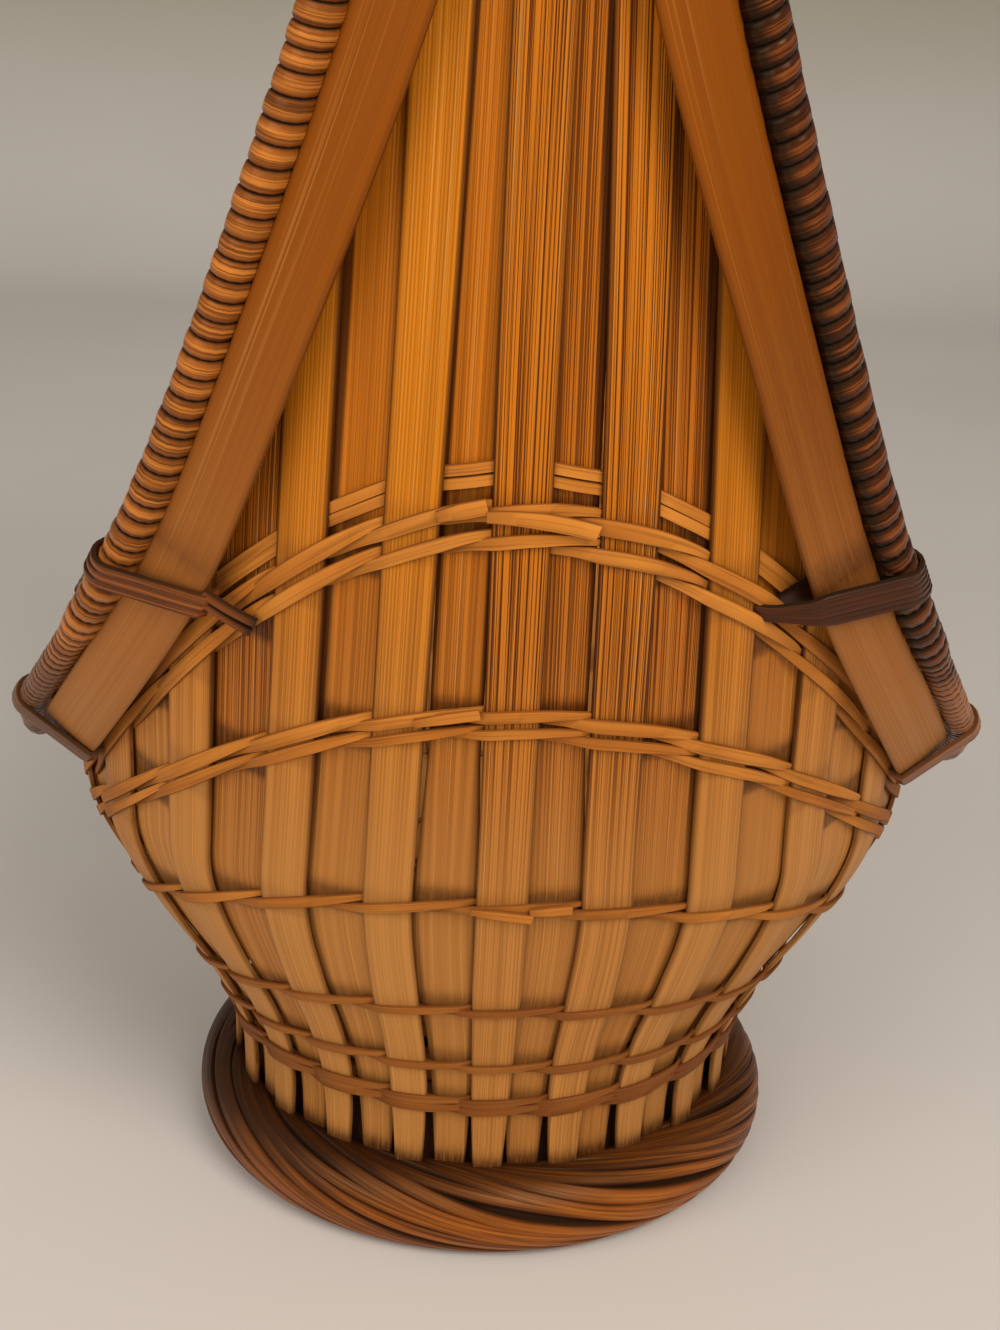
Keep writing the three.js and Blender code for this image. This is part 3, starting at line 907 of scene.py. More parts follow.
@dataclass
class Staves:
    """The flat bamboo strips that run from the foot to the rails, every second one proud.

    near_tones holds the tones of the strips in the near prow, counted from its middle towards +X.
    """

    hull: Hull
    finishes: Finishes
    thickness: float = 1.1
    layer_gap: float = 0.4
    width: float = 8.4
    foot_width: float = 6.6
    recessed_extra: float = 0.5
    foot_taper: float = 30.0
    skirt_taper: float = 1.5
    foot_tuck: float = 4.3
    side_fill: float = 0.92
    tucked_fill: float = 1.3
    tucked_from: float = 72.0
    tucked_to: float = 118.0
    middle_strips: int = 2
    edge_gap: float = 0.7
    rail_cover: float = 7.5
    rim_cover: float = 6.2
    rim_about: float = 93.0
    singles: int = 6
    top_slope: float = 1.8
    top_length: float = 26.0
    top_step: float = 0.5
    step: float = 0.95
    least_shown: float = 0.8
    deepest_seam: float = 4.0
    uneven_width: Pair = (-0.04, 0.03)
    sway: float = 0.35
    wave: float = 0.25
    wave_length: Pair = (26.0, 44.0)
    ripple: float = 0.12
    ripple_length: Pair = (14.0, 22.0)
    proud_stain: float = 0.28
    recessed_stain: float = 0.75
    stain_below: float = 0.7
    stain_above: float = 1.7
    aged_fade: float = 0.8
    skirt_shade: float = 0.22
    border_shade: float = 0.7
    border_top: float = 17.0
    border_spread: float = 2.4
    near_tones: dict[float, float] = field(default_factory=lambda: {
        -4: 0.6, -3: 0.58, -2: 0.62, -1: 0.54, 0: 0.1, 1: 0.44, 2: 0.2, 3: 0.3, 4: 0.6,
    })
    chance: np.random.Generator = field(default_factory=lambda: np.random.default_rng(7))

    def build(self) -> None:
        """Builds every strip and sets it on its node."""
        for side in Side:
            self._node(f"stave_{side.word}_middle", side, Hand.RIGHT, (0,))
            for hand in Hand:
                for strip in range(1, self.singles + 1):
                    self._node(f"stave_{side.word}_{hand.word}_{strip}", side, hand, (strip,))
                for pair in range(2):
                    first = self.singles + 1 + 2 * pair
                    node = f"stave_{side.word}_{hand.word}_{self.singles + 1 + pair}"
                    self._node(node, side, hand, (first, first + 1))
        for hand in Hand:
            self._node(f"stave_side_{hand.word}", Side.NEAR, hand, (self.hull.quarter_strips,))

    def _node(self, node: str, side: Side, hand: Hand, strips: tuple[int, ...]) -> None:
        """Builds the strip or the two strips that stand for one node.

        Args:
            node: The frame's node.
            side: The prow that they belong to.
            hand: The side of the prow's middle.
            strips: Their places, counted from the prow's middle.
        """
        parts = [self._strip(f"{node}_strip_{strip}", side, hand, strip) for strip in strips]
        layer = self._layer(strips[-1])
        material = self.finishes.proud if layer is Layer.PROUD else self.finishes.recessed
        dress(joined(f"{node}_strip", parts), material, layer.value, node)

    @staticmethod
    def _layer(strip: int) -> Layer:
        """Even strips stand proud."""
        return Layer.PROUD if strip % 2 == 0 else Layer.RECESSED

    def _top(self, strip: int) -> Pair:
        """Where a strip ends, behind the rail or just above the rim.

        Args:
            strip: Its place, counted from the prow's middle.

        Returns:
            The height of its top and the slope of the cut there.
        """
        hull = self.hull
        lowest = float(hull.row_height(RIM, hull.strip_angle(strip, self.rim_about))) + self.rim_cover
        heights = np.arange(lowest, hull.tip_height, self.top_step)
        reach = np.sin(hull.strip_angle(strip, heights)) * hull.half_width.at(heights) + self.width / 2
        rail = hull.rail_offset.at(heights)
        past = np.nonzero(reach > rail + self.rail_cover)[0]
        if not len(past):
            return hull.tip_height, 0.0
        if past[0] == 0:
            return lowest, 0.0
        closing = np.gradient(rail - reach, heights)[past[0]]
        return float(heights[past[0]]), float(np.clip(1 / closing, -self.top_slope, 0))

    def _strip(self, name: str, side: Side, hand: Hand, strip: int) -> Piece:
        """Draws one strip up the shell.

        Args:
            name: The strip's name.
            side: The prow that it belongs to.
            hand: The side of the prow's middle.
            strip: Its place, counted from the prow's middle.

        Returns:
            The strip.
        """
        hull, draw = self.hull, self.chance.uniform
        high, slope = self._top(strip)
        low = hull.foot_top - self.foot_tuck
        heights = np.linspace(low, high, int((high - low) / self.step))
        pitch = hull.strip_pitch(strip, heights)
        proud = self._layer(strip) is Layer.PROUD
        broad = np.maximum(self.width, self._fill(strip, heights, proud) * pitch)
        narrow = self.foot_width if proud else self.foot_width + self.recessed_extra
        flare = ramp(heights, hull.neck_height, self.foot_taper)
        width = np.minimum(mix(narrow, broad, flare), 2 * pitch - self.edge_gap)
        width = width - self.skirt_taper * ramp(heights, hull.neck_height, hull.foot_top - hull.neck_height)
        width = width * (1 + draw(*self.uneven_width))
        sway = draw(-self.sway, self.sway) + self.wave * np.sin(heights / draw(*self.wave_length) + strip)
        per_strip = hull.strip_angle(strip + 0.5, heights) - hull.strip_angle(strip - 0.5, heights)
        angle = hand.value * hull.strip_angle(strip, heights) + sway / pitch * per_strip
        middle = self.thickness / 2 if proud else -self.layer_gap - self.thickness / 2
        middle = middle + self.ripple * np.sin(heights / draw(*self.ripple_length) + draw(0, 6))
        route, outward = hull.spot(side, angle, heights, middle)
        across = unit(np.cross(run_of(route), outward))
        tone = float(draw(0.0, 1.0))
        if side is Side.NEAR:
            tone = self.near_tones.get(strip * hand.value, tone)
        shown = np.maximum(pitch - self.width / 2, self.least_shown)
        seam = 1.0 if proud else np.clip(width / 2 / shown, 1, self.deepest_seam)
        near_top = np.clip(1 - (high - heights) / self.top_length, 0, 1)
        slant = hand.value * side.value * slope * width / 2 * near_top
        stain = self._stain(angle, heights, proud)
        return Sweep(route, across, outward, width / 2, self.thickness / 2, Section.STRIP, tone=tone,
                     stain=stain, seam=seam, slant=slant).build(name)

    def _fill(self, strip: int, heights: Array, proud: bool) -> Array:
        """Share of the pitch that a strip fills: recessed ones tuck under their neighbours low down.

        Args:
            strip: Its place, counted from the prow's middle.
            heights: Heights along it.
            proud: Whether it stands proud.

        Returns:
            The share at each height.
        """
        if proud:
            return np.full_like(heights, self.side_fill)
        high = self.tucked_fill if strip > self.middle_strips else self.side_fill
        share = ramp(heights, self.tucked_from, self.tucked_to - self.tucked_from)
        return mix(self.tucked_fill, high, share)

    def _stain(self, angle: Array, heights: Array, proud: bool) -> Array:
        """How dark a strip is: deepest in the recessed strips, just above each woven row.

        The darkening is real staining mixed with painted shade, and on the skirt it is painted shade alone.

        Args:
            angle: Angles along it.
            heights: Heights along it.
            proud: Whether it stands proud.

        Returns:
            How dark it is at each point.
        """
        # real staining mixed with painted shade beside each row, deepest in the recessed strips
        stain = np.zeros_like(heights)
        for row in ROWS:
            apart = heights - self.hull.row_height(row, angle)
            beyond = np.maximum(np.abs(apart) - row.band / 2, 0)
            spread = np.where(apart < 0, self.stain_below, self.stain_above)
            stain = np.maximum(stain, (1 - self.aged_fade * row.aged) * smudge(beyond, 0.0, spread))
        # painted shade on the skirt, deepest where the strips pass behind the foot's border
        border = smudge(np.maximum(heights, self.border_top), self.border_top, self.border_spread)
        skirt = self.skirt_shade + self.border_shade * border
        skirt = skirt * ramp(heights, self.hull.neck_height + 1.0, -2.0)
        return np.maximum((self.proud_stain if proud else self.recessed_stain) * stain, skirt)


@dataclass(frozen=True)
class CutEnd:
    """A splint's square-cut end that lies on top of a row.

    start and end are places counted in strips from the near prow's middle, and the rises are heights
    above the row's line.
    """

    start: float
    end: float
    start_rise: float
    end_rise: float
    half_width: float
    raised: float = 0.15


@dataclass
class Twining:
    """The twined rows: pairs of splints that cross between the proud staves.

    The strands' waves are given as their height, how many go round the basket and the strand's shift.
    """

    hull: Hull
    finishes: Finishes
    stave_thickness: float = 1.1
    splint_depth: float = 0.3
    slack: float = 0.08
    per_strip: int = 8
    cover: float = 0.72
    wander: tuple[Triple, ...] = ((0.22, 3, 5), (0.1, 8, 2))
    width_wave: Triple = (0.1, 5, 3)
    dusty: float = 0.3
    dust_from: Pair = (0.75, 0.5)
    shaded: float = 0.25
    shade_from: Pair = (0.05, -0.6)
    darkest: float = 0.85
    upper_heights: Pair = (8.5, 6.5)
    upper_half_width: float = 0.86
    upper_depth: float = 0.42
    upper_off: Pair = (-0.25, 0.55)
    ends: dict[str, tuple[CutEnd, ...]] = field(default_factory=lambda: {
        "rim_band": (CutEnd(-1.5, -0.62, 2.65, 3.35, 1.25), CutEnd(-0.62, 1.4, 1.9, 0.9, 1.3, 0.35)),
        "weave_row_2": (CutEnd(-1.7, -0.55, 1.5, 2.7, 1.0),),
        "weave_row_3": (CutEnd(0.55, 1.3, 0.5, 1.3, 0.95), CutEnd(-0.5, 0.6, 0.5, -0.9, 0.9, 0.3)),
    })
    chance: np.random.Generator = field(default_factory=lambda: np.random.default_rng(23))

    def build(self) -> None:
        """Builds every row and sets it on its node."""
        for row in ROWS:
            parts = []
            for index, (lift, half_width) in enumerate(row.pairs):
                for strand in range(2):
                    name = f"{row.node}_{index}_{strand}"
                    parts.append(self._strand(name, row, lift, half_width, strand))
            if row is RIM:
                for index, lift in enumerate(self.upper_heights):
                    parts.append(self._upper(f"{row.node}_upper_{index}", row, lift))
            for index, end in enumerate(self.ends.get(row.node, ())):
                parts.append(self._end(f"{row.node}_end_{index}", row, end))
            dress(joined(f"{row.node}_twined", parts), self.finishes.splint, "weaver", row.node)

    def _line(self, row: WovenRow, lift: float) -> tuple[Array, Array, Array, Array]:
        """A row's run right round the basket, strip by strip.

        Args:
            row: The row.
            lift: Height above the row's line.

        Returns:
            The count of proud staves passed, the angle, the height and whether it is on the near half.
        """
        quarter = self.hull.quarter_strips
        strip = np.linspace(0, 4 * quarter, 4 * quarter * self.per_strip + 1)
        near = strip < 2 * quarter
        angle, height = self.hull.on_row(row, np.where(near, strip - quarter, 3 * quarter - strip))
        return (strip - 1) / 2, angle, height + lift, near

    def _ribbon(
        self, name: str, near: Array, angle: Array, height: Array, off: Array, half_width: Values,
        depth: float, stain: Values = 0.0,
    ) -> Piece:
        """A flat splint laid right round the shell.

        Args:
            name: The splint's name.
            near: Whether each point is on the near half.
            angle: Angle of each point from its prow's middle.
            height: Height of each point.
            off: Distance of each point from the shell.
            half_width: Half the splint's width.
            depth: Half its thickness.
            stain: How dark it is.

        Returns:
            The splint.
        """
        halves = zip(*(self.hull.spot(side, angle, height, off) for side in Side))
        route, outward = (np.where(near[:, None], front, back) for front, back in halves)
        tone = float(self.chance.uniform(0.1, 0.9))
        return Sweep.along(route, outward, half_width, depth, Section.SPLINT, looped=True, tone=tone,
                           stain=stain).build(name)

    def _strand(self, name: str, row: WovenRow, lift: float, half_width: float, strand: int) -> Piece:
        """One of a pair: over a proud stave, then behind the next, rising as it crosses the front.

        Args:
            name: The strand's name.
            row: The row it belongs to.
            lift: Height of its pair above the row's line.
            half_width: Half its width at the middle of each showing stretch.
            strand: Which of the pair it is.

        Returns:
            The strand.
        """
        passed, angle, height, near = self._line(row, lift)
        phase = np.mod(passed - strand + 1, 2) - 1
        front = self.stave_thickness + self.slack + self.splint_depth
        back = -self.slack - self.splint_depth
        under, over = self.splint_depth - 0.3, front - 0.45
        off = self._eased(phase, (
            (-1, back), (-0.82, back), (-0.68, under), (-0.48, under + 0.2), (-0.22, front), (0.22, front),
            (0.5, over), (0.68, over - 0.15), (0.82, back), (1, back)))
        rise = row.twist * self._eased(phase, ((-1, 0), (-self.cover, -1), (self.cover, 1), (1, 0)))

        def wave(size: float, waves: float, shift: float) -> Array:
            """A slow wave along the row, which differs between the strands."""
            turn = passed * 2 * math.pi * waves / (2 * self.hull.quarter_strips)
            return size * np.sin(turn + shift * strand)

        wander = sum(wave(*part) for part in self.wander)
        taper = self._eased(phase, ((-1, 0.6), (-0.7, 0.5), (-0.2, 1), (0.25, 1), (0.75, 0.55), (1, 0.6)))
        width = half_width * taper * (1 + wave(*self.width_wave))
        # ageing low down, dust and painted shade at the sides, painted shade where it runs behind a stave
        stain = row.aged + self.dusty * ramp(np.abs(angle), *self.dust_from)
        stain = stain + self.shaded * ramp(phase, *self.shade_from)
        return self._ribbon(name, near, angle, height + rise + wander, off, width, self.splint_depth,
                            np.clip(stain, 0, self.darkest))

    @staticmethod
    def _eased(phase: Array, stops: Stations) -> Array:
        """Values between stops, with the corners eased, for a run that ends where it began.

        Args:
            phase: Places, from -1 to 1 over and over.
            stops: Places and their values.

        Returns:
            The value at each place.
        """
        values = np.interp(phase, *zip(*stops))[:-1]
        for _ in range(2):
            values = 0.25 * np.roll(values, 1) + 0.5 * values + 0.25 * np.roll(values, -1)
        return np.append(values, values[0])

    def _end(self, name: str, row: WovenRow, end: CutEnd) -> Piece:
        """A short flat stretch with square-cut ends on top of a row, on the near side.

        Args:
            name: The stretch's name.
            row: The row that it lies on.
            end: Where and how it lies.

        Returns:
            The stretch.
        """
        share = np.linspace(0, 1, 15)
        angle, height = self.hull.on_row(row, mix(end.start, end.end, share))
        height = height + end.start_rise + (end.end_rise - end.start_rise) * share
        over = self.stave_thickness + 3 * self.splint_depth + end.raised + 0.1 * np.sin(share * math.pi)
        route, outward = self.hull.spot(Side.NEAR, angle, height, over)
        width = end.half_width * (0.7 + 0.3 * ramp(share, 0.0, 0.5))
        return Sweep.along(route, outward, width, self.splint_depth, Section.SPLINT, tone=1.0,
                           stain=0.35 * (1 - ramp(share, 0.0, 0.4))).build(name)

    def _upper(self, name: str, row: WovenRow, lift: float) -> Piece:
        """A thin strand above the rim that shows only over the recessed staves.

        Args:
            name: The strand's name.
            row: The rim's row.
            lift: Height above the row's line.

        Returns:
            The strand.
        """
        passed, angle, height, near = self._line(row, lift)
        middle, swing = self.upper_off
        off = middle - swing * np.cos(2 * math.pi * passed)
        return self._ribbon(name, near, angle, height, off, self.upper_half_width, self.upper_depth)


@dataclass
class Rail:
    """The line of one rail slat with the directions along it, which turn outwards at the low end."""

    hull: Hull
    side: Side
    hand: Hand
    off: float = 6.3
    count: int = 241
    low_twist: float = 32.0
    twist_over: float = 0.55
    points: Array = field(init=False)
    run: Array = field(init=False)
    outboard: Array = field(init=False)
    normal: Array = field(init=False)

    def __post_init__(self) -> None:
        """Works out the line from the low end to the tip."""
        hull = self.hull
        low = mix(hull.bowl_height, hull.tip_height, hull.rail_sweep[0][0])
        heights = np.linspace(low, hull.tip_height, 4 * self.count)
        line, _ = hull.spot(self.side, self._angle(heights), heights, self.off)
        self.points = evenly(line, self.count)
        _, normal = hull.spot(self.side, self._angle(self.points[:, 2]), self.points[:, 2], 0.0)
        self.run = run_of(self.points)
        outboard = unit(np.cross(self.run, normal))
        outboard = outboard * np.sign(outboard[:, :1] * self.hand.value)
        normal = unit(normal - self.run * np.sum(normal * self.run, axis=1, keepdims=True))
        ease = np.clip(1 - np.linspace(0, 1, self.count) / self.twist_over, 0, 1)[:, None]
        twist = math.radians(self.low_twist) * ease ** 2 * (3 - 2 * ease)
        self.outboard = outboard * np.cos(twist) + normal * np.sin(twist)
        self.normal = normal * np.cos(twist) - outboard * np.sin(twist)

    def _angle(self, heights: Array) -> Array:
        """Angle of the rail's line at each height."""
        share = self.hull.rail_offset.at(heights) / self.hull.half_width.at(heights)
        return self.hand.value * np.arcsin(share)

    def shifted(self, out: Array, off: Values) -> Array:
        """The line moved outboard and off the shell."""
        out, off = (np.reshape(part, (-1, 1)) for part in (out, off))
        return self.points + self.outboard * out + self.normal * off

    def at(self, share: float) -> int:
        """Index of the point at a share of the rail's length."""
        return int(round(share * (self.count - 1)))


Rack = dict[tuple[Side, Hand], Rail]


@dataclass
class Rails:
    """The four smooth slats along the prow edges.

    Each slat carries dark marks, given by depth, place along the slat and spread: painted shadow at the
    low end and just above the lashing, and on the right a broad mark that is part shadow and part dirt.
    """

    finishes: Finishes
    rails: Rack
    low_width: float = 11.2
    tip_width: float = 10.2
    thickness: float = 1.5
    every: int = 4
    out_wave: Pair = (0.25, 9)
    off_wave: Pair = (0.15, 14)
    low_shadow: Triple = (0.7, 0.0, 0.02)
    shadow_marks: dict[Hand, tuple[Triple, ...]] = field(default_factory=lambda: {
        Hand.LEFT: ((0.45, 0.335, 0.016),),
        Hand.RIGHT: ((0.7, 0.338, 0.02), (0.26, 0.5, 0.16)),
    })
    chance: np.random.Generator = field(default_factory=lambda: np.random.default_rng(41))

    def build(self) -> None:
        """Builds the slats and sets them on their nodes."""
        pick = slice(None, None, self.every)
        for (side, hand), rail in self.rails.items():
            share = np.linspace(0, 1, rail.count)
            width = mix(self.low_width, self.tip_width, share)
            inward = -(width - slat_width(share)) / 2
            out, off = (size * np.sin(share * turns) for size, turns in (self.out_wave, self.off_wave))
            route = rail.shifted(inward + out, off)
            tone = float(self.chance.uniform(0.2, 0.8))
            # painted shadow at the low end and by the lashing, partly dirt in the broad right mark
            marks = (self.low_shadow, *self.shadow_marks[hand])
            stain = sum(depth * smudge(share, middle, spread) for depth, middle, spread in marks)
            sweep = Sweep(route[pick], rail.outboard[pick], rail.normal[pick], width[pick] / 2,
                          self.thickness / 2, Section.STRIP, tone=tone, stain=stain[pick])
            node = f"rail_slat_{side.word}_{hand.word}"
            dress(sweep.build(f"{node}_strip"), self.finishes.slat, "slat", node)


def convex_outline(points: Array) -> Array:
    """The outline that a tight cord takes round a bundle.

    Args:
        points: Points of the bundle's section.

    Returns:
        The corner points of the outline, anticlockwise.
    """
    ordered = sorted(map(tuple, points))

    def chain(sequence: list[Pair]) -> list[Pair]:
        """One half of the outline.

        Args:
            sequence: Points in order.

        Returns:
            The corners that the cord touches, without the last one.
        """
        kept: list[Pair] = []
        for point in sequence:
            while len(kept) > 1:
                (ax, ay), (bx, by) = kept[-2], kept[-1]
                if (bx - ax) * (point[1] - ay) - (by - ay) * (point[0] - ax) > 0:
                    break
                kept.pop()
            kept.append(point)
        return kept[:-1]

    return np.array(chain(ordered) + chain(ordered[::-1]))


def circle(centre: Pair, radius: float, count: int = 24) -> Array:
    """Points of a circle in a section."""
    turn = np.linspace(0, 2 * math.pi, count, endpoint=False)
    return np.stack([centre[0] + radius * np.cos(turn), centre[1] + radius * np.sin(turn)], axis=1)


def box_corners(centre: Pair, half_width: float, half_depth: float) -> Array:
    """Corners of an upright rectangle in a section."""
    signs = np.array([[-1, -1], [1, -1], [1, 1], [-1, 1]])
    return np.array(centre) + signs * np.array([half_width, half_depth])


@dataclass(frozen=True)
class Place:
    """Where a section stands: its middle and its three directions."""

    point: Array
    out: Array
    off: Array
    run: Array


@dataclass(frozen=True)
class Winding:
    """Cane that is wound round a bundle, turn beside turn.

    gather is how far the turns draw together at the bundle's inner end.
    """

    half_width: float
    half_depth: float
    pitch: float
    turns: int
    per_turn: int = 44
    gather: float = 0.0
    gather_from: float = 4.0
    gather_over: float = 7.0

    def coil(self, name: str, bundle: Array, place: Place, tone: float, stain: float = 0.0) -> Piece:
        """Winds the cane round a bundle's section.

        Args:
            name: The winding's name.
            bundle: Points of the bundle's section.
            place: Where the section stands.
            tone: How light the cane is.
            stain: How dark it has become.

        Returns:
            The wound cane.
        """
        outline = convex_outline(bundle)
        ring = evenly(np.vstack([outline, outline[:1]]), self.per_turn + 1)[:-1]
        edge = np.roll(ring, -1, axis=0) - np.roll(ring, 1, axis=0)
        away = unit(np.stack([edge[:, 1], -edge[:, 0]], axis=1))
        away = unit(away + 0.5 * (np.roll(away, 1, axis=0) + np.roll(away, -1, axis=0)))
        steps = np.arange(self.turns * self.per_turn + 1)
        away, ring = away[steps % self.per_turn], (ring + away * self.half_depth)[steps % self.per_turn]
        advance = (steps / self.per_turn - self.turns / 2) * self.pitch
        advance = advance * (1 - self.gather * ramp(-ring[:, 0], self.gather_from, self.gather_over))
        route = place.point + ring[:, :1] * place.out + ring[:, 1:] * place.off
        route = route + advance[:, None] * place.run
        outward = unit(away[:, :1] * place.out + away[:, 1:] * place.off)
        return Sweep.along(route, outward, self.half_width, self.half_depth, Section.CANE, square=False,
                           tone=tone, stain=stain).build(name)


@dataclass(frozen=True)
class Wound:
    """A rod's wound cane that can be cut into stretches."""

    line: Array
    away: Array
    spots: Array
    half_width: Array
    half_depth: Array
    stain: Array

    def stretch(self, name: str, start: int, end: int) -> Piece:
        """Models the stretch between two points of the rod.

        Args:
            name: The stretch's name.
            start: First point of the rod.
            end: Last point of the rod.

        Returns:
            The stretch of wound cane.
        """
        part = np.nonzero((self.spots >= start) & (self.spots <= end))[0]
        return Sweep.along(self.line[part], self.away[part], self.half_width[part], self.half_depth[part],
                           Section.CANE, square=False, stain=self.stain[part]).build(name)


@dataclass
class Hoops:
    """The two rods, wound with cane, that follow the rails and meet over the top as the handle.

    Below the rim lashings the cane is fine and flat, above them broad and rounded.
    The cane is darkened with painted shade where it faces the slat, to a depth given for each hand.
    """

    hull: Hull
    finishes: Finishes
    rails: Rack
    beside_slat: float = 3.2
    lift: float = -0.3
    rod_radius: float = 2.3
    fine_pitch: float = 2.1
    fine_depth: float = 0.24
    broad_pitch: float = 3.35
    broad_depth: float = 0.62
    broad_from: float = 118.0
    broad_to: float = 124.0
    per_turn: int = 12
    point_gap: float = 0.26
    span_steps: int = 14
    leg_every: int = 12
    rod_every: int = 16
    seat: float = 0.9
    uneven: tuple[Triple, ...] = ((0.05, 6.1, 0.0), (0.04, 2.3, 1.0))
    depth_wave: Pair = (0.07, 1.7)
    side_reach: float = 86.0
    side_lift: float = 5.0
    turn_inset: float = 0.8
    turn_out: float = 12.0
    turn_rise: float = 1.7
    pair_offset: float = 3.8
    handle_height: float = 350.0
    handle_corner: Pair = (3.0, 42.0)
    handle_shoulder: Pair = (62.0, 8.0)
    leg_end: float = 0.97
    end_shift: float = 0.8
    end_slat: Triple = (-0.1, 5.6, 0.75)
    end_winding: Winding = Winding(half_width=0.85, half_depth=0.5, pitch=1.6, turns=3)
    facing: Pair = (0.2, -0.55)
    broad_shelter: Pair = (0.3, 0.7)
    slat_side_shade: dict[Hand, float] = field(default_factory=lambda: {Hand.LEFT: 0.15, Hand.RIGHT: 0.92})

    def build(self) -> None:
        """Builds both rods, their wrapping and the turns that take in the slats' low ends."""
        for hand in Hand:
            self._hoop(hand)

    def from_slat(self, share: Values) -> Array:
        """Distance of the rod's middle from the slat's middle at a share of the rail."""
        return slat_width(share) / 2 + self.beside_slat

    def bundle(self, share: float, depth: float, slat: Triple) -> Array:
        """Section of the wound rod and of the slat, given by its middle and half its width and depth."""
        rod = circle((float(self.from_slat(share)), self.lift), self.rod_radius + 2 * depth)
        return np.vstack([rod, box_corners((slat[0], 0.0), *slat[1:])])

    def _half(self, side: Side, hand: Hand) -> Array:
        """One half of a rod's route, from the low side to the shoulder of the handle.

        Args:
            side: The prow that it runs up.
            hand: The low side that it starts from.

        Returns:
            Points of the route.
        """
        rail = self.rails[(side, hand)]
        leg = rail.shifted(self.from_slat(np.linspace(0, 1, rail.count)), self.lift)
        leg = leg[: rail.at(self.leg_end) + 1: self.leg_every]
        low = self.hull.bowl_height + self.side_lift
        out, drop = self.handle_corner
        ends = np.array([
            [self.side_reach, 0.0, low],
            [self.side_reach - self.turn_inset, self.turn_out, low + self.turn_rise],
            [self.pair_offset, self.hull.prow_reach + out, self.handle_height - drop],
            [self.pair_offset, self.handle_shoulder[0], self.handle_height - self.handle_shoulder[1]],
        ]) * np.array([hand.value, -side.value, 1.0])
        return np.vstack([ends[:2], leg, ends[2:]])

    def _hoop(self, hand: Hand) -> None:
        """Builds one rod and its wrapping in three stretches.

        Args:
            hand: The low side that it runs round.
        """
        near, far = (self._half(side, hand) for side in Side)
        top = np.array([[self.pair_offset * hand.value, 0.0, self.handle_height]])
        route = smooth_route(np.vstack([near, top, far[::-1]]), self.span_steps)
        route = evenly(route, int(lengths_along(route)[-1] / self.point_gap))
        first, second = self._sides(run_of(route))
        rod = slice(None, None, self.rod_every)
        core = Sweep(route[rod], first[rod], second[rod], self.rod_radius, self.rod_radius, Section.ROUND)
        dress(core.build(f"hoop_{hand.word}_rod"), self.finishes.rod, "hoop", f"hoop_{hand.word}")
        cane = self._cane(hand, route, first, second)
        material = self.finishes.wrap_left if hand is Hand.LEFT else self.finishes.wrap_right
        above = np.nonzero(route[:, 2] > self.hull.tip_height)[0]
        cuts = (0, above[0], above[-1], len(route))
        for index, side in enumerate((Side.NEAR, None, Side.FAR)):
            name = f"wrap_{side.word if side else 'handle'}_{hand.word}"
            wound = cane.stretch(name + "_wound", cuts[index], cuts[index + 1])
            if side is None:
                dress(wound, material, "wrap")
            else:
                ends = self._end_turns(name, side, hand)
                dress(joined(name + "_wound", [wound, ends]), material, "wrap", name)

    @staticmethod
    def _sides(run: Array) -> tuple[Array, Array]:
        """Two directions across a route that turn with it and don't spin.

        Args:
            run: The way that the route runs at each point.

        Returns:
            The two directions at each point.
        """
        first = np.empty_like(run)
        first[0] = unit(np.cross(run[0], UP))
        for index in range(1, len(run)):
            kept = first[index - 1] - run[index] * np.dot(first[index - 1], run[index])
            first[index] = kept / np.linalg.norm(kept)
        return first, np.cross(run, first)

    def _cane(self, hand: Hand, route: Array, first: Array, second: Array) -> Wound:
        """The helix of cane round a whole rod, with painted shade where it faces the slat.

        Args:
            hand: The low side that the rod runs round.
            route: The rod's route.
            first: One direction across it.
            second: The other direction across it.

        Returns:
            The helix, ready to be cut into stretches.
        """
        run = lengths_along(route)
        broad = ramp(route[:, 2], self.broad_from, self.broad_to - self.broad_from)
        uneven = sum((size * np.sin(run / length + shift) for size, length, shift in self.uneven), 1.0)
        pitch = mix(self.fine_pitch, self.broad_pitch, broad) * uneven
        turns = np.concatenate([[0.0], np.cumsum(np.diff(run) * 2 / (pitch[1:] + pitch[:-1]))])
        spots = np.arange(0, turns[-1], 1 / self.per_turn)
        turn = 2 * math.pi * spots[:, None]
        first, second, middle = (read_off(spots, turns, rows) for rows in (first, second, route))
        away = unit(first * np.cos(turn) + second * np.sin(turn))
        depth = np.interp(spots, turns, mix(self.fine_depth, self.broad_depth, broad))
        size, speed = self.depth_wave
        depth = depth * (1 + size * np.sin(spots * speed))
        line = middle + away * (self.rod_radius + self.seat * depth)[:, None]
        # painted shade on the side that faces the slat, deeper on the broad turns
        stain = ramp(away[:, 0] * hand.value, *self.facing) * self.slat_side_shade[hand]
        fine, extra = self.broad_shelter
        stain = stain * (fine + extra * np.interp(spots, turns, broad))
        points = np.interp(spots, turns, np.arange(len(route)))
        return Wound(line, away, points, 0.5 * np.interp(spots, turns, pitch), depth, stain)

    def _end_turns(self, name: str, side: Side, hand: Hand) -> Piece:
        """The last turns of a wrapping, which take in the slat's low end.

        Args:
            name: The wrapping's name.
            side: The prow that it belongs to.
            hand: The low side that it belongs to.

        Returns:
            The wound turns.
        """
        rail = self.rails[(side, hand)]
        point = rail.points[0] + rail.run[0] * self.end_shift
        place = Place(point, rail.outboard[0], rail.normal[0], rail.run[0])
        bundle = self.bundle(0.0, self.fine_depth, self.end_slat)
        return self.end_winding.coil(f"{name}_end", bundle, place, tone=0.3, stain=0.2)


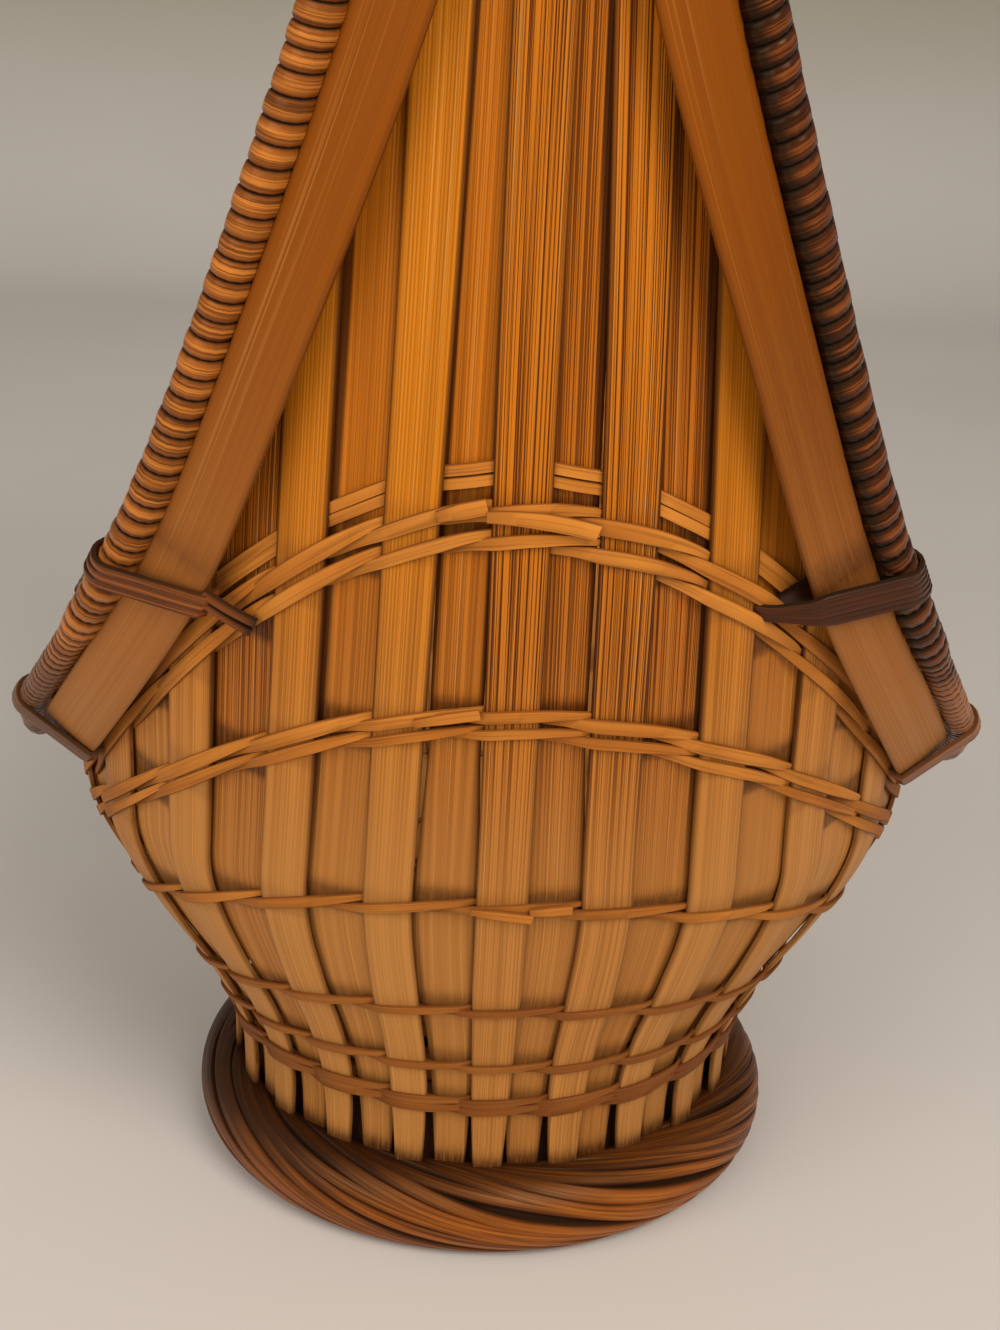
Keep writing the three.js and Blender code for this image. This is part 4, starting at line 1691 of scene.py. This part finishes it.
@dataclass
class Lashings:
    """The cane that ties slat and rod together at the rim and binds the prow tips.

    On the left three canes tie the slat, on the right six finer ones that gather behind it.
    """

    hull: Hull
    finishes: Finishes
    rails: Rack
    hoops: Hoops
    left_station: float = 0.292
    right_station: float = 0.31
    lean: float = 0.4
    slat: Triple = (-0.3, 6.0, 0.8)
    tucked: Pair = (-13.0, -3.4)
    left_winding: Winding = Winding(half_width=0.92, half_depth=0.5, pitch=1.8, turns=3)
    right_winding: Winding = Winding(half_width=0.62, half_depth=0.46, pitch=1.18, turns=6, gather=0.6)
    tip_winding: Winding = Winding(half_width=1.1, half_depth=0.65, pitch=2.35, turns=5, per_turn=60)
    tone: float = 0.4
    tail_shifts: Pair = (-0.85, 0.85)
    tail_radius: float = 0.85
    tail_length: float = 8.6
    tail_start: Triple = (-5.4, 0.6, 2.6)
    tail_slope: float = 0.55
    tail_spread: float = 0.4
    tail_dive: Pair = (1.4, 1.2)
    tail_stain: Pair = (0.35, 0.6)
    binding_drop: float = 11.0
    binding_slack: float = 0.3
    tip_staves: Triple = (-0.9, 8.0, 0.9)

    def build(self) -> None:
        """Builds the rim lashings and the tip bindings."""
        for (side, hand), rail in self.rails.items():
            self._rim(side, hand, rail)
        for side in Side:
            self._tip(side)

    def _rim(self, side: Side, hand: Hand, rail: Rail) -> None:
        """Ties one slat to its rod.

        Args:
            side: The prow.
            hand: The side of the prow.
            rail: The slat's line.
        """
        left = hand is Hand.LEFT
        station = self.left_station if left else self.right_station
        index = rail.at(station)
        out = rail.outboard[index] - self.lean * rail.run[index]
        place = Place(rail.points[index], out, rail.normal[index], rail.run[index])
        bundle = self.hoops.bundle(station, self.hoops.broad_depth, self.slat)
        if not left:
            bundle = np.vstack([bundle, [self.tucked]])
        name = f"rim_lashing_{side.word}_{hand.word}"
        winding = self.left_winding if left else self.right_winding
        parts = [winding.coil(f"{name}_turns", bundle, place, self.tone)]
        if left == (side is Side.NEAR):
            for index, shift in enumerate(self.tail_shifts):
                parts.append(self._tail(f"{name}_tail_{index}", place, shift))
        material = self.finishes.lashing_left if left else self.finishes.lashing_right
        dress(joined(f"{name}_wound", parts), material, "lashing", name)

    def _tail(self, name: str, place: Place, shift: float) -> Piece:
        """A cut end of round cane that slips out beside the slat.

        Args:
            name: The tail's name.
            place: Where its lashing stands.
            shift: How far along the rail it lies from the lashing's middle.

        Returns:
            The tail.
        """
        share = np.linspace(0, 1, 10)[:, None]
        out, off, run = self.tail_start
        start = place.point + place.out * out + place.off * off + place.run * (shift + run)
        sink = self.tail_length * self.tail_slope - self.tail_spread * shift
        aim = -place.out * self.tail_length - place.run * sink
        dive, bend = self.tail_dive
        route = start + aim * share - place.off * (dive * share + bend * share ** 2)
        body, cut = self.tail_stain
        stain = body + cut * share[:, 0] ** 6
        return Sweep.along(route, place.off, self.tail_radius, self.tail_radius, Section.ROUND,
                           tone=self.tone, stain=stain).build(name)

    def _tip(self, side: Side) -> None:
        """Binds the staves, slats and rods of one prow tip.

        Args:
            side: The prow.
        """
        height = self.hull.tip_height - self.binding_drop
        middle, _ = self.hull.spot(side, 0.0, height, 0.0)
        off = np.array([0.0, -side.value, 0.0])
        place = Place(middle, np.array([1.0, 0.0, 0.0]), off, UP)
        depth, half_width, half_depth = self.tip_staves
        points = [box_corners((0.0, depth), half_width, half_depth)]
        radius = self.hoops.rod_radius + 2 * self.hoops.broad_depth + self.binding_slack
        for hand in Hand:
            rail = self.rails[(side, hand)]
            index = int(np.argmin(np.abs(rail.points[:, 2] - height)))
            beside = self.hoops.from_slat(index / (rail.count - 1))
            rod = rail.points[index] + rail.outboard[index] * beside + rail.normal[index] * self.hoops.lift
            points.append(circle((float(rod[0]), float(np.dot(rod - middle, off))), radius))
        node = f"tip_binding_{side.word}"
        coil = self.tip_winding.coil(f"{node}_wound", np.vstack(points), place, self.tone)
        dress(coil, self.finishes.lashing_left, "lashing", node)


@dataclass
class Foot:
    """The rolled foot border of swirling cane strands, and the woven base above it.

    wander holds the strands' waves: how far each sways and how many go round the foot.
    The strands carry painted shade: dark on top and on the side away from the lamps.
    """

    hull: Hull
    finishes: Finishes
    middle_radius: float = 50.5
    middle_height: float = 8.6
    half_spread: float = 5.5
    half_rise: float = 7.2
    strands: int = 18
    strand_steps: int = 240
    swirl: int = 2
    wander: Stations = ((0.09, 3), (0.06, 5))
    strand_half_width: float = 1.5
    strand_half_depth: float = 1.25
    width_wave: Pair = (0.14, 4)
    sunny_turn: float = -0.75
    sunny_fade: float = 0.85
    shade_floor: float = 0.58
    shade_rise: float = 1.15
    darkest: float = 0.93
    base_radius: float = 47.4
    sheet_depth: float = 0.5
    lining_radius: float = 46.4
    lining_drop: float = 8.5
    lining_half: Pair = (7.5, 0.4)
    lining_steps: int = 96
    base_rings: int = 10
    ring_first: float = 4.5
    ring_inset: float = 6.5
    ring_half: Pair = (2.0, 0.45)
    ring_weave: float = 0.75
    steps_per_rib: int = 12
    rib_half: Pair = (2.2, 0.3)
    rib_rise: Pair = (0.05, -0.25)
    chance: np.random.Generator = field(default_factory=lambda: np.random.default_rng(3))

    def build(self) -> None:
        """Builds the border and the base, and sets them on their nodes."""
        parts = [self._strand(index) for index in range(self.strands)]
        parts.append(self._core())
        dress(joined("foot_ring_rolled", parts), self.finishes.foot, "foot", "foot_ring")
        rings = [self._base_heart(), self._lining()]
        rings += [self._base_ring(index) for index in range(self.base_rings)]
        ribs = [self._base_rib(index) for index in range(self.hull.quarter_strips)]
        dress(joined("base_woven", rings + ribs), self.finishes.base, "weaver", "base_disc")

    @staticmethod
    def _settled(stain: float, rim: float, tone: float) -> Piece:
        """Settles the piece that was just added: its place, its grain map and its marks.

        Args:
            stain: How dark it is.
            rim: How near its surface is to an edge.
            tone: How light it is.

        Returns:
            The piece.
        """
        piece = bpy.context.object
        bpy.ops.object.transform_apply(location=True, rotation=True, scale=True)
        piece.data.uv_layers.active.name = GRAIN
        paint(piece.data, {"stain": stain, "rim": rim, "tone": tone})
        return piece

    @staticmethod
    def _about(turn: Array) -> Array:
        """Level directions from the basket's middle at each turn."""
        return np.stack([np.cos(turn), np.sin(turn), np.zeros_like(turn)], axis=1)

    def _core(self) -> Piece:
        """The heart of the border, which shows only between the strands.

        It is painted fully dark as the shade in those gaps.

        Returns:
            The heart.
        """
        bpy.ops.object.select_all(action="DESELECT")
        bpy.ops.mesh.primitive_torus_add(
            major_segments=72, minor_segments=12, major_radius=self.middle_radius * MM,
            minor_radius=self.half_spread * MM, location=(0, 0, self.middle_height * MM))
        core = self._settled(stain=1.0, rim=1.0, tone=0.1)
        bpy.ops.object.shade_smooth()
        return core

    def _strand(self, index: int) -> Piece:
        """One strand that swirls round the border as it goes about the foot.

        Args:
            index: Which strand it is.

        Returns:
            The strand.
        """
        turn = np.linspace(0, 2 * math.pi, self.strand_steps + 1)
        wander = sum(sway * np.sin(waves * turn + self.chance.uniform(0, 6)) for sway, waves in self.wander)
        swirl = 2 * math.pi * index / self.strands - self.swirl * turn + wander
        about = self._about(turn)
        reach = self.middle_radius + self.half_spread * np.cos(swirl)
        rise = self.middle_height + self.half_rise * np.sin(swirl)
        route = about * reach[:, None] + rise[:, None] * UP
        outward = about * np.cos(swirl)[:, None] + np.sin(swirl)[:, None] * UP
        size, waves = self.width_wave
        width = self.strand_half_width * (1 + size * np.sin(waves * turn + index))
        tone = float(self.chance.uniform(0.0, 1.0))
        # painted shade: dark on top of the border and away from the lamps, lightest low on the lamp side
        sunny = 0.5 + 0.5 * np.cos(turn - self.sunny_turn)
        stain = self.shade_rise * (rise / (2 * self.middle_height)) ** 2 + self.shade_floor
        stain = np.clip(stain - self.sunny_fade * sunny, 0, self.darkest)
        return Sweep.along(route, outward, width, self.strand_half_depth, Section.CANE, looped=True,
                           tone=tone, stain=stain).build(f"foot_strand_{index}")

    def _base_heart(self) -> Piece:
        """The thin sheet of splints that closes the base between its ribs.

        It is painted dark as the shade inside the foot.

        Returns:
            The sheet.
        """
        bpy.ops.object.select_all(action="DESELECT")
        bpy.ops.mesh.primitive_cylinder_add(
            vertices=64, radius=self.base_radius * MM, depth=self.sheet_depth * MM,
            location=(0, 0, self.hull.neck_height * MM))
        return self._settled(stain=0.8, rim=0.0, tone=0.2)

    def _lining(self) -> Piece:
        """The hoop inside the foot that the strips' ends are bound to.

        It is painted fully dark as the shade inside the foot.

        Returns:
            The hoop.
        """
        about = self._about(np.linspace(0, 2 * math.pi, self.lining_steps + 1))
        about[-1] = about[0]
        route = about * self.lining_radius + UP * (self.hull.neck_height - self.lining_drop)
        upright = np.tile(UP, (len(about), 1))
        return Sweep(route, upright, about, *self.lining_half, Section.SPLINT, looped=True, tone=0.1,
                     stain=1.0).build("base_lining")

    def _base_ring(self, index: int) -> Piece:
        """One round of the woven base, over and under the ribs.

        Args:
            index: Which round it is, from the middle.

        Returns:
            The round.
        """
        ribs = 2 * self.hull.quarter_strips
        turn = np.linspace(0, 2 * math.pi, self.steps_per_rib * ribs + 1)
        about = self._about(turn)
        radius = self.ring_first + (self.base_radius - self.ring_inset) * index / (self.base_rings - 1)
        weave = self.ring_weave * np.cos(ribs * turn / 2 + math.pi * (index % 2))
        route = about * radius + (self.hull.neck_height + weave)[:, None] * UP
        route[-1] = route[0]
        tone = float(self.chance.uniform(0.2, 0.8))
        upright = np.tile(UP, (len(about), 1))
        return Sweep(route, about, upright, *self.ring_half, Section.SPLINT, looped=True,
                     tone=tone).build(f"base_ring_{index}")

    def _base_rib(self, index: int) -> Piece:
        """One flat rib right across the base.

        Args:
            index: Which rib it is.

        Returns:
            The rib.
        """
        turn = math.pi * index / self.hull.quarter_strips
        share = np.linspace(-1, 1, 9)[:, None]
        step, start = self.rib_rise
        run = np.array([math.cos(turn), math.sin(turn), 0.0])
        route = share * self.base_radius * run + UP * (self.hull.neck_height + step * index + start)
        across = np.tile([-math.sin(turn), math.cos(turn), 0.0], (len(share), 1))
        outward = np.tile(UP, (len(share), 1))
        return Sweep(route, across, outward, *self.rib_half, Section.SPLINT).build(f"base_rib_{index}")


def stand(name: str, data: bpy.types.ID, axes: list[Array], place: Triple) -> Piece:
    """Stands a lamp or a camera in the scene.

    Args:
        name: Its name.
        data: The lamp's or camera's settings.
        axes: Its right, up and back.
        place: Where it stands.

    Returns:
        The lamp or camera.
    """
    item = bpy.data.objects.new(name, data)
    bpy.context.scene.collection.objects.link(item)
    rows = [[*row, value * MM] for row, value in zip(np.stack(axes, axis=1), place)]
    item.matrix_world = Matrix(rows + [[0, 0, 0, 1]])
    return item


@dataclass(frozen=True)
class Lamp:
    """A square lamp that faces the basket."""

    name: str
    place: Triple
    size: float
    power: float
    colour: Triple
    aim_height: float = 120.0

    def hang(self) -> None:
        """Hangs the lamp."""
        light = bpy.data.lights.new(self.name, "AREA")
        light.size = self.size * MM
        light.energy = self.power
        light.color = self.colour
        back = unit(np.array(self.place) - UP * self.aim_height)
        right = unit(np.cross(UP, back))
        stand(self.name, light, [right, np.cross(back, right), back], self.place)


@dataclass
class Studio:
    """The floor and backdrop, the lamps and the camera at the photograph's angle.

    The lamps give soft light from the right and above, and a weak fill from the left.
    """

    eye: Triple = (-10.4, -361.6, 226.3)
    yaw: float = 1.75
    pitch: float = 19.8
    roll: float = 2.3
    focal_pixels: float = 2000.0
    image_height: float = 1330.0
    sensor: float = 36.0
    clip_start: float = 10.0
    floor_half: float = 3000.0
    wall_from: float = 1300.0
    wall_height: float = 3000.0
    bend: float = 350.0
    bend_steps: int = 16
    sky: Colour = (1.0, 0.94, 0.86, 1.0)
    sky_strength: float = 0.5
    floor: PlainFinish = PlainFinish("pale_floor", body=srgb(203, 198, 195), shade=srgb(156, 149, 134))
    lamps: tuple[Lamp, ...] = (
        Lamp("key_lamp", (470.0, -900.0, 880.0), size=650.0, power=12.6, colour=(1.0, 0.94, 0.85)),
        Lamp("fill_lamp", (-760.0, -900.0, 620.0), size=1100.0, power=9.6, colour=(1.0, 0.95, 0.88)),
    )

    def build(self) -> None:
        """Sets up the stage."""
        self._backdrop()
        for lamp in self.lamps:
            lamp.hang()
        self._sky()
        self._camera()
        bpy.context.scene.view_settings.view_transform = "Standard"

    def _backdrop(self) -> None:
        """Lays a pale floor that sweeps up into a wall behind the basket."""
        bpy.ops.object.select_all(action="DESELECT")
        bpy.ops.mesh.primitive_plane_add(size=2 * self.floor_half * MM, location=(0, 0, 0))
        floor = bpy.context.object
        floor.name = "floor_sweep"
        for vertex in floor.data.vertices:
            if vertex.co.y > 0:
                vertex.co.y = self.wall_from * MM
        bpy.ops.object.mode_set(mode="EDIT")
        bpy.ops.mesh.select_mode(type="EDGE")
        bpy.ops.mesh.select_all(action="DESELECT")
        bpy.ops.object.mode_set(mode="OBJECT")
        for edge in floor.data.edges:
            edge.select = all(floor.data.vertices[v].co.y > 0 for v in edge.vertices)
        bpy.ops.object.mode_set(mode="EDIT")
        bpy.ops.mesh.extrude_region_move(TRANSFORM_OT_translate={"value": (0, 0, self.wall_height * MM)})
        bpy.ops.object.mode_set(mode="OBJECT")
        bend = floor.modifiers.new("sweep", "BEVEL")
        bend.width = self.bend * MM
        bend.segments = self.bend_steps
        bpy.ops.object.modifier_apply(modifier=bend.name)
        bpy.ops.object.shade_smooth()
        floor.data.materials.append(self.floor.make())

    def _sky(self) -> None:
        """Lights the scene all round with a plain sky."""
        world = bpy.data.worlds.new("plain_sky")
        world.use_nodes = True
        ground = world.node_tree.nodes["Background"]
        ground.inputs["Color"].default_value = self.sky
        ground.inputs["Strength"].default_value = self.sky_strength
        bpy.context.scene.world = world

    def _camera(self) -> None:
        """Stands the camera where the photograph was taken."""
        yaw, pitch, roll = (math.radians(angle) for angle in (self.yaw, self.pitch, self.roll))
        level, drop = math.cos(pitch), -math.sin(pitch)
        ahead = np.array([math.sin(yaw) * level, math.cos(yaw) * level, drop])
        aside = unit(np.cross(ahead, UP))
        above = np.cross(aside, ahead)
        right = aside * math.cos(roll) + above * math.sin(roll)
        up = above * math.cos(roll) - aside * math.sin(roll)
        lens = bpy.data.cameras.new("photo_camera")
        lens.sensor_fit = "AUTO"
        lens.sensor_width = self.sensor
        lens.lens = self.focal_pixels / self.image_height * self.sensor
        lens.clip_start = self.clip_start * MM
        bpy.context.scene.camera = stand("photo_camera", lens, [right, up, -ahead], self.eye)


def main() -> None:
    """Builds the basket piece by piece and sets the stage."""
    logging.basicConfig(level=logging.INFO, format="%(message)s")
    hull = Hull()
    finishes = Finishes()
    rails = {(side, hand): Rail(hull, side, hand) for side in Side for hand in Hand}
    Staves(hull, finishes).build()
    Twining(hull, finishes).build()
    Foot(hull, finishes).build()
    Rails(finishes, rails).build()
    hoops = Hoops(hull, finishes, rails)
    hoops.build()
    Lashings(hull, finishes, rails, hoops).build()
    Studio().build()


if __name__ == "__main__":
    main()
